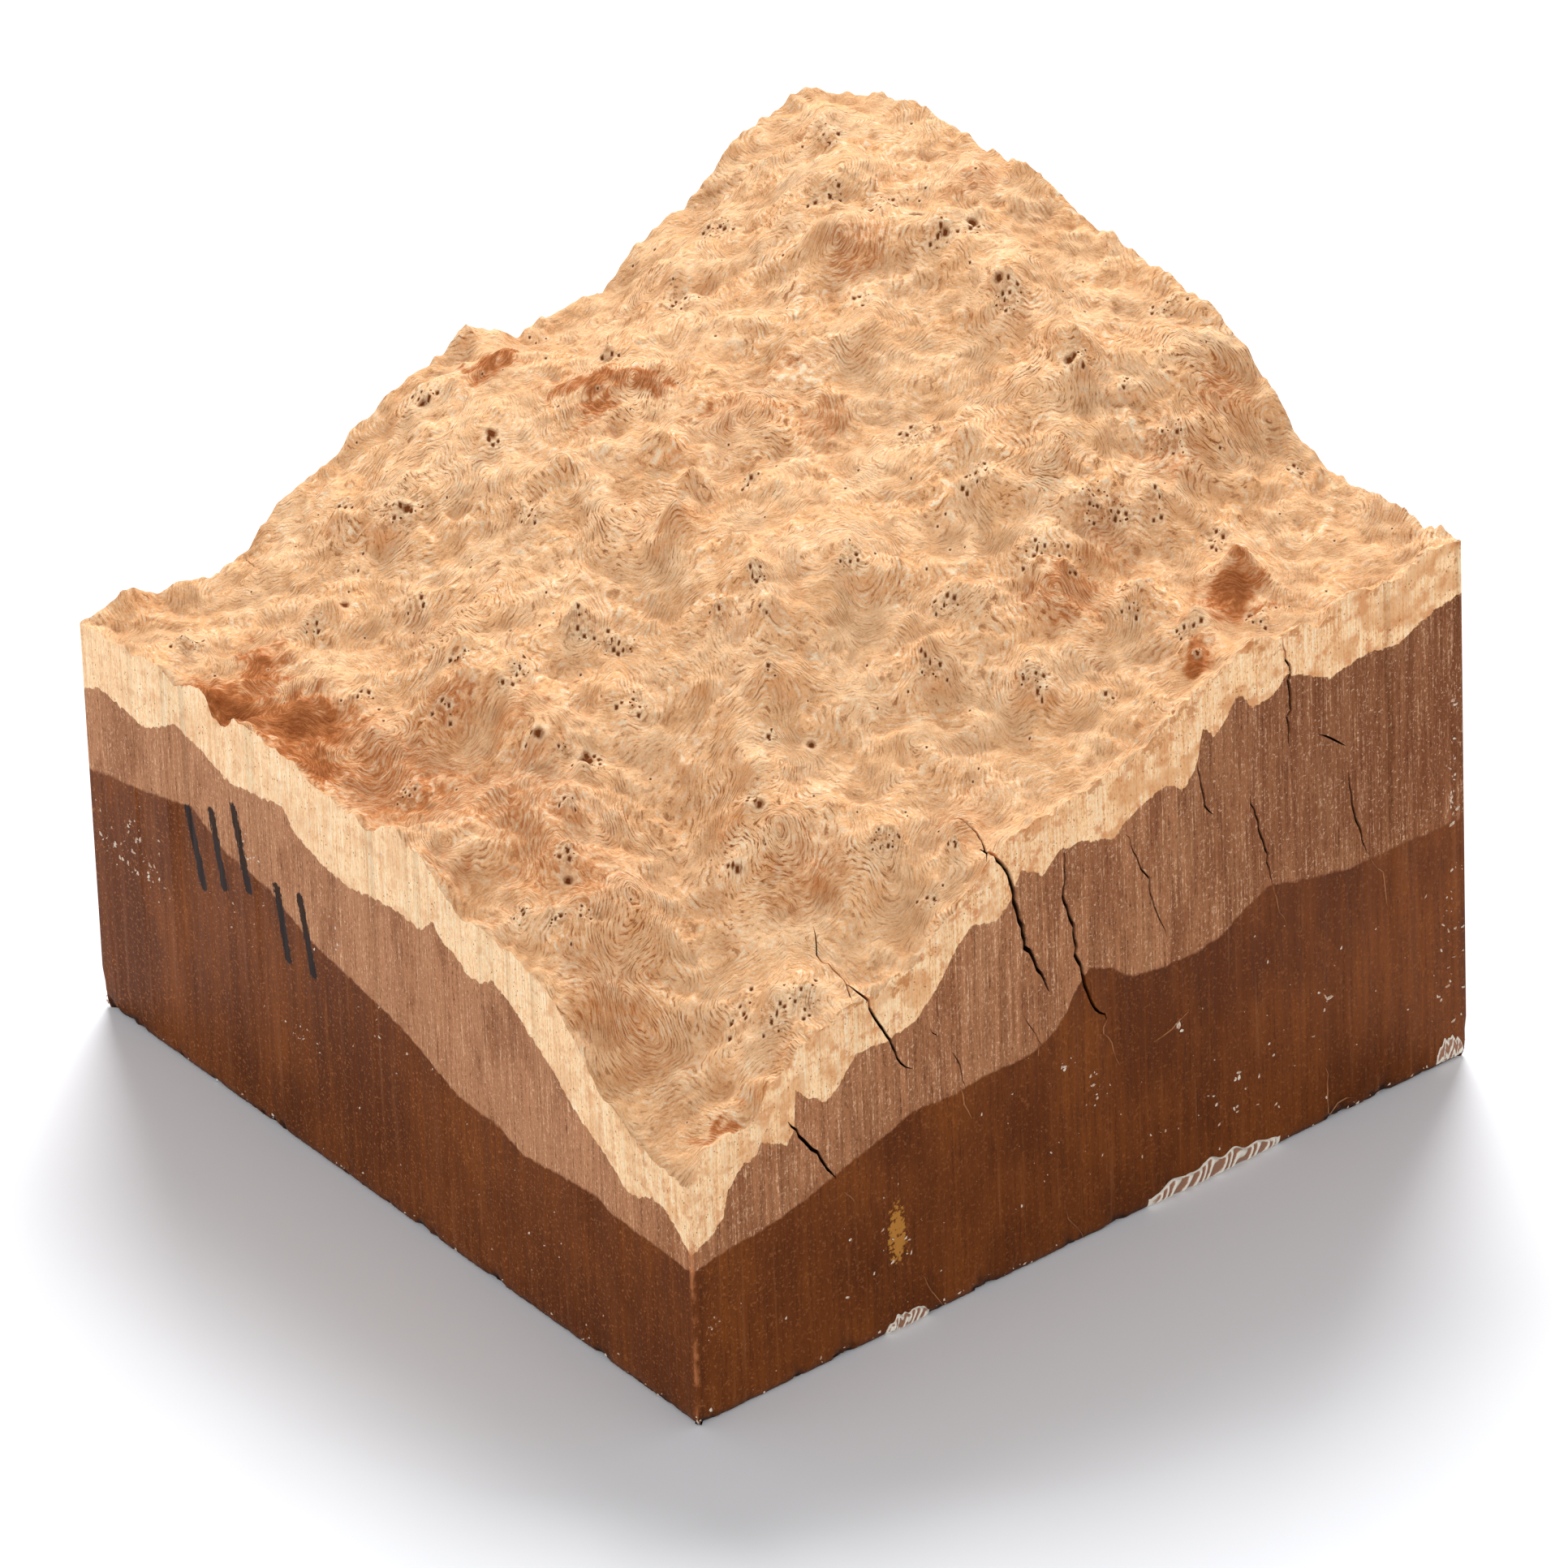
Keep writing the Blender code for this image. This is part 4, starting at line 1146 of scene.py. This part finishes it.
# %% The sawn faces' finish
def sawn_faces():
    """Sapwood, heartwood and waxed wood, each with its own marks, parted by the two lines,
    and over them the pen strokes, the gold patch, the worn corner, and painted shade that
    darkens the wood the deeper it lies: the cracks' walls and the middle of the base."""
    material, shader, place = start_finish("sawn burl faces")
    x, y, z = axes(place)
    torn = joined(x * 0.9, y * 0.9, z * 0.9).noise(1.0, 3.0, 0.6)
    hairs = joined(x * 3.4, y * 3.4, z * 0.09).noise(1.0, 3.0, 0.65)
    stripes = joined(x * 1.0, y * 1.0, z * 0.035).noise(1.0, 2.0)
    fibres = joined(x * 4.0, y * 4.0, z * 1.6).noise(1.0, 3.0, 0.65)
    crumbs = place.noise(2.4, 2.0, 0.6)
    cloud = joined(x * 0.09, y * 0.09, z * 0.05).noise(1.0, 3.0)
    speckle = hairs * 0.5 + fibres * 0.5
    # 0 far along the left face, a half at the near corner and 1 far along the front face
    from_left = (x - y).between(-60, 60)

    sap = from_left.mixed(paint(255, 214, 166), paint(255, 210, 158))
    sap = sap.towards(paint(222, 158, 106), cloud.between(0.4, 0.6) * from_left * 0.2)
    sap = sap.towards(paint(255, 240, 208), speckle.between(0.5, 0.6) * (0.85 - from_left * 0.2))
    sap = sap.towards(paint(200, 126, 72), speckle.between(0.49, 0.36) * (0.55 + from_left * 0.25))
    rust = place.noise(0.4, 4.0, 0.65).between(0.5, 0.66)
    sap = sap.towards(paint(208, 130, 80), rust * (0.25 + from_left * 0.5))
    sap = sap.towards(paint(214, 146, 92), stripes.between(0.56, 0.7) * 0.25)
    tint = place.noise(0.2, 3.0).between(0.47, 0.62)
    sap = sap.towards(paint(218, 154, 100), tint * (0.25 + from_left * 0.35))
    dots = joined(x * 1.5, y * 1.5, z * 1.1).cells(1.0).between(0.2, 0.13)
    sap = sap.towards(paint(142, 88, 48), dots * place.noise(0.5, 1.0).between(0.46, 0.58) * 0.85)
    bark = (place.noise(0.3, 4.0, 0.7) - read(place, "below") * 0.035).between(0.5, 0.58)
    sap = sap.towards(paint(188, 118, 64), bark * from_left.between(0.5, 0.8) * 0.7)

    to_right = (x - y - z * 0.4).between(50, 150)
    upper_right = (x - y).between(70, 120) * z.between(34, 56)
    striped = stripes.between(0.36, 0.64) * (0.45 + to_right * 0.55)
    heart = striped.mixed(paint(174, 117, 80), paint(118, 70, 40))
    heart = heart.towards(paint(190, 136, 100), from_left.between(0.5, 0.2) * 0.6)
    heart = heart.towards(paint(132, 76, 42), to_right * 0.5)
    blotch = joined(x * 0.16, y * 0.16, z * 0.06).noise(1.0, 3.0, 0.6)
    heart = heart.towards(paint(122, 66, 38), blotch.between(0.5, 0.66) * 0.4)
    heart = heart.towards(paint(200, 146, 104), blotch.between(0.48, 0.34) * 0.2)
    heart = heart.towards(paint(108, 58, 30), upper_right * 0.45)
    heart = heart.towards(paint(236, 190, 152), speckle.between(0.53, 0.66) * (0.75 - upper_right * 0.3))
    heart = heart.towards(paint(82, 46, 28), speckle.between(0.48, 0.34) * 0.8)
    heart = heart.towards(paint(236, 196, 160), crumbs.between(0.6, 0.74) * 0.6)

    wax = cloud.between(0.3, 0.7).mixed(paint(98, 47, 12), paint(126, 66, 22))
    wax = wax.towards(paint(76, 36, 12), stripes.between(0.6, 0.36) * 0.3)
    wax = wax.towards(paint(140, 86, 50), stripes.between(0.6, 0.74) * 0.4)
    wax = wax.towards(paint(62, 30, 10), speckle.between(0.5, 0.38) * 0.5)
    wax = wax.towards(paint(168, 104, 60), crumbs.between(0.55, 0.7) * (0.75 - from_left * 0.4))

    is_heart = (read(place, "sap_line") - z - (torn - 0.5) * 1.7).between(-0.12, 0.12)
    is_wax = (read(place, "dip_line") - z - (place.noise(0.7, 3.0) - 0.5) * 1.1).between(-0.3, 0.3)
    wood = sap.towards(heart, is_heart).towards(wax, is_wax)

    along = y + DEPTH / 2 / MM
    nearest = None
    for start, end in PEN_STROKES:
        gap = stroke_distance(along, z, start, end)
        nearest = gap if nearest is None else nearest.smaller(gap)
    nearest = nearest + (hairs - 0.5) * 0.9 + (fibres - 0.5) * 1.1
    on_left = (x + WIDTH / 2 / MM).between(0.6, 0.4)
    ink = nearest.between(PEN_HALF_WIDTH + PEN_BLUR, PEN_HALF_WIDTH - PEN_BLUR)
    wood = wood.towards(paint(22, 19, 21), ink * on_left * 0.92)

    across = x + WIDTH / 2 / MM
    patch_u, patch_z, half_u, half_z = GOLD_PATCH
    off_u, off_z = (across - patch_u) * (1 / half_u), (z - patch_z) * (1 / half_z)
    gold = off_u * off_u + off_z * off_z + (place.noise(1.1, 3.0, 0.65) - 0.5) * 5.0
    on_front = (y + DEPTH / 2 / MM).between(0.6, 0.4)
    wood = wood.towards(paint(206, 142, 62), gold.between(0.9, 0.4) * on_front * 0.7)
    worn = (across + along + (fibres - 0.5) * 1.4).between(1.0, 0.3)
    wood = wood.towards(paint(196, 122, 76), worn * place.noise(0.3, 2.0).between(0.4, 0.6) * 0.7)

    # Painted shade: crack walls, and the base towards its middle, turn near black with depth in the wood.
    shade_depth = read(place, "shade_depth").between(0.15, 0.9)
    wood = wood.towards(paint(46, 26, 15), shade_depth)
    relief = hairs * 0.6 + fibres * 0.4
    in_wax = (read(place, "dip_line") - z).between(-0.3, 0.3)
    link(shader, "Base Color", wood)
    roughen(shader, relief * (1 - in_wax * 0.7), 0.4, 0.2 * MM)
    link(shader, "Roughness", 0.72 - is_wax * 0.26 + fibres * 0.08)
    shader.inputs["Specular IOR Level"].default_value = 0.09
    return material


# %% Putting the finishes on
burl.data.materials.clear()
NATURAL, SAWN = 0, 1
SKIN_DEPTH = 0.3 * MM
SHARP_EDGE = math.radians(62)
burl.data.materials.append(natural_surface())
burl.data.materials.append(sawn_faces())

corners = np.zeros(len(burl.data.loops), dtype=np.int32)
first_corner = np.zeros(len(burl.data.polygons), dtype=np.int32)
burl.data.loops.foreach_get("vertex_index", corners)
burl.data.polygons.foreach_get("loop_start", first_corner)
deepest = np.maximum.reduceat(np.abs(below_top)[corners], first_corner)
on_top = deepest < SKIN_DEPTH
burl.data.polygons.foreach_set("material_index", np.where(on_top, NATURAL, SAWN).astype(np.int32))
burl.data.shade_smooth()
burl.data.set_sharp_from_angle(angle=SHARP_EDGE)
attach(burl, "root")
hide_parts("burl_blank")
print(int(on_top.sum()), "natural faces,", int((~on_top).sum()), "sawn faces")

# %% [markdown]
# ## Wax on the foot
#
# When the foot was dipped, wax ran into the ends of the cracks and dried there as thin tan
# lines, small flecks stuck to the faces, and it set in white ribs along the bottom edge.
# All of it stands a little proud of the wood, so it is made as low closed meshes rather
# than painted on. Each is worked out flat on a side face, as a run along the face, a
# height and how far it stands out, and one function turns those three into a place.

# %% From a side face to a place
# The directions along the face and out of it, its distance from the middle and half its length
FACES = {"front": ((1, 0, 0), (0, -1, 0), DEPTH / 2, WIDTH / 2),
         "left": ((0, 1, 0), (-1, 0, 0), WIDTH / 2, DEPTH / 2),
         "back": ((1, 0, 0), (0, 1, 0), DEPTH / 2, WIDTH / 2),
         "right": ((0, 1, 0), (1, 0, 0), WIDTH / 2, DEPTH / 2)}
SUNK = 0.25 * MM


def on_face(face, run, z, out):
    """Places on a side face: run and height in millimetres, out in metres from the wood."""
    along, outward, reach, half_run = FACES[face]
    run, z, out = np.broadcast_arrays(np.asarray(run, float) * MM - half_run, np.asarray(z, float) * MM, out)
    out = out + reach - foot_curve(z)
    upwards = z[..., None] * np.array([0.0, 0.0, 1.0])
    return run[..., None] * np.array(along, float) + out[..., None] * np.array(outward, float) + upwards


def closed_piece(name, points, faces, finish):
    """A linked mesh with its faces turned outwards, on the block's own body."""
    made = mesh_object(name, points, faces)
    face_outwards(made)
    made.data.materials.append(finish)
    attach(made, "root")
    return made


def waxen(name, light, dark, pitch):
    """Dull wax in two colours, mixed by soft noise."""
    material, shader, place = start_finish(name)
    share = place.noise(pitch, 3.0, 0.6).between(0.4, 0.6)
    link(shader, "Base Color", share.mixed(paint(*light), paint(*dark)))
    shader.inputs["Roughness"].default_value = 0.5
    shader.inputs["Specular IOR Level"].default_value = 0.3
    return material


WHITE_WAX = waxen("white wax", (228, 216, 200), (196, 160, 134), 0.9)
TAN_WAX = waxen("tan wax", (168, 112, 70), (132, 80, 46), 0.6)

# %% The ribbed crusts on the bottom edge
# Name, start and end along the front face, foot, height and thickness in millimetres, and
# the width of one rib
CRUSTS = [
    ("wax_crust_long", 84.0, 109.0, 0.1, 4.0, 0.6, 1.7),
    ("wax_crust_near", 35.0, 42.8, 0.1, 3.3, 0.55, 1.3),
    ("wax_crust_corner", 139.2, 144.2, 0.6, 5.2, 0.5, 1.2)]
CRUST_STEP = 0.12
CRUST_ROWS = 15
RIB_LEAN = 0.45
CRUST_SEED = 50


def crust_wax():
    """Brown wax with white on the ribs and round the edge, by the crust's own field."""
    material, shader, place = start_finish("crusted wax")
    rib = read(place, "rib") + (place.noise(1.6, 3.0) - 0.5) * 0.7
    link(shader, "Base Color", rib.between(0.22, 0.62).mixed(paint(158, 112, 86), paint(234, 226, 212)))
    shader.inputs["Roughness"].default_value = 0.45
    shader.inputs["Specular IOR Level"].default_value = 0.3
    return material


CRUST_WAX = crust_wax()


def crust(name, start, end, foot, height, thickness, rib_width, seed):
    """A grid over the run s and the height t, both 0 to 1. It stands out by thickness times
    a narrow wave over s for the ribs times an edge that falls to nought all round, and its
    top edge rises and falls with a slower wave."""
    steps = int((end - start) / CRUST_STEP)
    s, t = np.meshgrid(np.linspace(0, 1, steps), np.linspace(0, 1, CRUST_ROWS), indexing="ij")
    run = start + (end - start) * s
    random = np.random.default_rng(seed)
    wobble = sum(np.sin(s * turns + start_angle) for turns, start_angle in
                 zip(random.uniform(6, 40, 6), random.uniform(0, 2 * np.pi, 6))) / 3
    top = (height - foot) * np.sin(np.pi * np.clip(s, 0.02, 0.98)) ** 0.3 * (0.85 + 0.15 * wobble)
    z = foot + top * t
    ribs = np.abs(np.cos(np.pi * (run - RIB_LEAN * z) / rib_width + 1.6 * wobble)) ** 5
    edge = np.sqrt(np.clip(np.sin(np.pi * s) * np.sin(np.pi * t) * 3, 0, 1))
    front = on_face("front", run, z, (thickness * (0.4 + 0.6 * ribs) * edge - 0.06) * MM)
    rear = on_face("front", run, z, np.full(run.shape, -SUNK))
    index = np.arange(s.size).reshape(s.shape)
    sheet, loop = squares(index), edge_loop(index)
    wall = np.column_stack([loop, np.roll(loop, -1), np.roll(loop, -1) + index.size, loop + index.size])
    faces = np.vstack([sheet, sheet[:, ::-1] + index.size, wall])
    made = closed_piece(name, np.concatenate([front.reshape(-1, 3), rear.reshape(-1, 3)]), faces, CRUST_WAX)
    give(made, "rib", np.tile(np.maximum(ribs, 1 - edge).ravel(), 2))
    return made


for number, row in enumerate(CRUSTS):
    crust(*row, CRUST_SEED + number)
print(len(CRUSTS), "crusts of wax")

# %% Flecks of wax
# Face, middle of the patch along the face and up, its half spreads, number of flecks and
# their largest half length
FLECKS = [
    ("front", 75.1, 26.1, 1.2, 1.4, 12, 0.7), ("front", 68.8, 32.8, 1.2, 0.8, 6, 0.5),
    ("front", 118.2, 21.8, 0.3, 1.4, 5, 0.9), ("front", 100.6, 15.2, 0.5, 0.6, 4, 0.7),
    ("front", 90.2, 29.6, 0.5, 0.8, 4, 0.9), ("front", 101.0, 10.5, 0.4, 1.2, 4, 0.5),
    ("front", 142.8, 48.0, 0.9, 12.0, 26, 0.6), ("front", 141.0, 24.0, 1.8, 10.0, 22, 0.55),
    ("front", 118, 21, 16, 11, 46, 0.45), ("front", 80, 20, 22, 11, 44, 0.4),
    ("front", 40, 10, 18, 7, 20, 0.4), ("front", 37.3, 17, 1.6, 5, 12, 0.5),
    ("front", 2.9, 16.7, 0.8, 0.9, 7, 0.5), ("front", 30, 1.2, 26, 0.6, 26, 0.55),
    ("front", 120, 0.9, 18, 0.5, 18, 0.5), ("left", 134, 32, 4.2, 3.2, 64, 0.5),
    ("left", 94.4, 21, 1.6, 0.8, 14, 0.45), ("left", 106, 30, 10, 6, 22, 0.35),
    ("left", 78, 34, 12, 8, 26, 0.35), ("left", 50, 17, 18, 9, 30, 0.35),
    ("left", 70, 1.0, 60, 0.6, 40, 0.4), ("left", 104, 48, 1.5, 1.0, 8, 0.4),
    ("back", 40, 14, 18, 8, 40, 0.45), ("back", 112, 18, 14, 9, 40, 0.45),
    ("back", 72, 1.0, 50, 0.6, 40, 0.5), ("back", 66, 30, 2.0, 3.0, 16, 0.7),
    ("right", 34, 20, 16, 9, 40, 0.45), ("right", 100, 16, 18, 8, 44, 0.45),
    ("right", 72, 1.0, 50, 0.6, 40, 0.5), ("right", 118, 31, 2.5, 2.0, 16, 0.7)]
FLECK_SIDES = 6
FLECK_SEED = 51


def flecks():
    """Low cones with a ragged outline: a ring of points just under the wood and one point
    that stands proud by about a third of its half length. None leaves its face."""
    random = np.random.default_rng(FLECK_SEED)
    points, faces = [], []
    around = np.linspace(0, 2 * np.pi, FLECK_SIDES, endpoint=False)
    for face, mid_run, mid_z, spread_run, spread_z, number, largest in FLECKS:
        limit = 2 * FACES[face][3] / MM - 0.6
        run = np.clip(random.normal(mid_run, spread_run, (number, 1)), 0.6, limit)
        z = np.abs(random.normal(mid_z, spread_z, (number, 1)) - 0.5) + 0.5
        long_half = largest * random.uniform(0.25, 1.0, (number, 1)) ** 1.5
        short_half = long_half * random.uniform(0.3, 0.7, (number, 1))
        turn = random.uniform(0, np.pi, (number, 1))
        ragged_edge = random.uniform(0.6, 1.25, (number, FLECK_SIDES))
        along, across = long_half * np.cos(around) * ragged_edge, short_half * np.sin(around) * ragged_edge
        ring_run = run + along * np.cos(turn) - across * np.sin(turn)
        ring_z = np.clip(z + along * np.sin(turn) + across * np.cos(turn), 0.15, None)
        ring = on_face(face, ring_run, ring_z, np.full(ring_run.shape, -0.12 * MM))
        tip = on_face(face, run, z, np.clip(long_half / 3, 0.06, 0.22) * MM)
        first = sum(len(block) for block in points)
        index = first + np.arange(number * (FLECK_SIDES + 1)).reshape(number, -1)
        for k in range(FLECK_SIDES):
            faces += np.column_stack([index[:, k], index[:, (k + 1) % FLECK_SIDES], index[:, -1]]).tolist()
        faces += index[:, FLECK_SIDES - 1::-1].tolist()
        points.append(np.concatenate([ring, tip], axis=1).reshape(-1, 3))
    return closed_piece("wax_flecks", np.concatenate(points), faces, WHITE_WAX)


# %% Threads of wax in the ends of the cracks, in millimetres along the front face and up
THREADS = [
    [(77.1, 36.8), (75.8, 35.2), (77.6, 33), (78.0, 30.5), (78.8, 28.3)],
    [(49.8, 37.2), (50.3, 34), (51.4, 30.8)], [(41.2, 8.6), (43.2, 4.6), (45.4, 0.4)],
    [(68.2, 6.7), (70, 3.6), (72.2, 0.3)], [(27.9, 28.8), (29.3, 27.2), (30, 25.5)],
    [(108.2, 46.6), (109.2, 43), (110.8, 38.4)],
    [(126.2, 44.3), (127.8, 41.2), (129.5, 39), (129.9, 32.5)], [(117.8, 10), (118.1, 6), (118, 1.5)],
    [(118.6, 1.4), (120.6, 3.2), (123.4, 2.2)], [(133.6, 47.5), (134, 44.5), (133.7, 42)],
    [(63.4, 41.2), (64.2, 38.5), (64, 36.2)], [(92, 31.5), (89, 29.8), (85.5, 28.9)]]
THREAD_HALF_WIDTH = 0.11 * MM
THREAD_SEED = 52


def thread(path, random):
    """A three-sided ridge along a ragged path: two edges sunk in the wood and one proud."""
    line, side = ragged(path, random)
    swell = np.sqrt(np.sin(np.pi * np.linspace(0.03, 0.97, len(line))))[:, None]
    edges = []
    for offset, out in ((-1, -0.1), (1, -0.1), (0, 0.07)):
        moved = (line + side * THREAD_HALF_WIDTH * offset * swell) / MM
        edges.append(on_face("front", moved[:, 0], moved[:, 1], np.full(len(moved), out * MM)))
    index = np.arange(len(line) * 3).reshape(len(line), 3)
    faces = tube(index).tolist() + [index[0].tolist(), index[-1].tolist()]
    return np.stack(edges, axis=1).reshape(-1, 3), faces


def threads():
    """All the threads in one mesh."""
    random = np.random.default_rng(THREAD_SEED)
    points, faces = [], []
    for path in THREADS:
        more_points, more_faces = thread(path, random)
        first = sum(len(block) for block in points)
        faces += [[first + corner for corner in face] for face in more_faces]
        points.append(more_points)
    return closed_piece("wax_threads", np.concatenate(points), faces, TAN_WAX)


for piece in (flecks(), threads()):
    print(piece.name, len(piece.data.polygons), "faces")

# %% [markdown]
# ## The studio
#
# The block stands on white paper under soft light. A large lamp high behind it rakes over
# the top, so that every bump shows, and throws a soft shadow forwards. A wide weak lamp low
# at the front left fills the two sawn faces.

# %% Floor and light
FLOOR_SIZE = 6.0
ROOM_LIGHT = 0.44


def studio_floor():
    """A large square of white paper, as stage."""
    edge = FLOOR_SIZE / 2
    corners = [(-edge, -edge, 0), (edge, -edge, 0), (edge, edge, 0), (-edge, edge, 0)]
    floor = mesh_object("floor", corners, [[0, 1, 2, 3]])
    material, shader, _ = start_finish("white paper")
    shader.inputs["Base Color"].default_value = paint(247, 249, 253)
    shader.inputs["Roughness"].default_value = 0.9
    floor.data.materials.append(material)
    return floor


def lamp(name, towards, distance, size, power):
    """A square lamp in that direction from the block, turned to face it."""
    data = bpy.data.lights.new(name, "AREA")
    data.energy, data.size = power, size
    made = bpy.data.objects.new(name, data)
    bpy.context.scene.collection.objects.link(made)
    direction = np.array(towards, float) / np.linalg.norm(towards)
    side = np.cross([0, 0, 1], direction)
    side /= np.linalg.norm(side)
    rows = np.stack([side, np.cross(direction, side), direction, direction * distance], axis=1)
    made.matrix_world = Matrix([*rows.tolist(), [0, 0, 0, 1]])
    return made


studio_floor()
lamp("high lamp", towards=(0.64, 0.74, 1.0), distance=2.6, size=1.25, power=77)
lamp("front fill", towards=(-0.95, -0.78, 0.45), distance=1.9, size=1.5, power=14.5)
world = bpy.data.worlds.new("soft white room")
world.use_nodes = True
world.node_tree.nodes["Background"].inputs["Color"].default_value = (1.0, 1.0, 1.0, 1.0)
world.node_tree.nodes["Background"].inputs["Strength"].default_value = ROOM_LIGHT
bpy.context.scene.world = world
bpy.context.scene.view_settings.view_transform = "Standard"
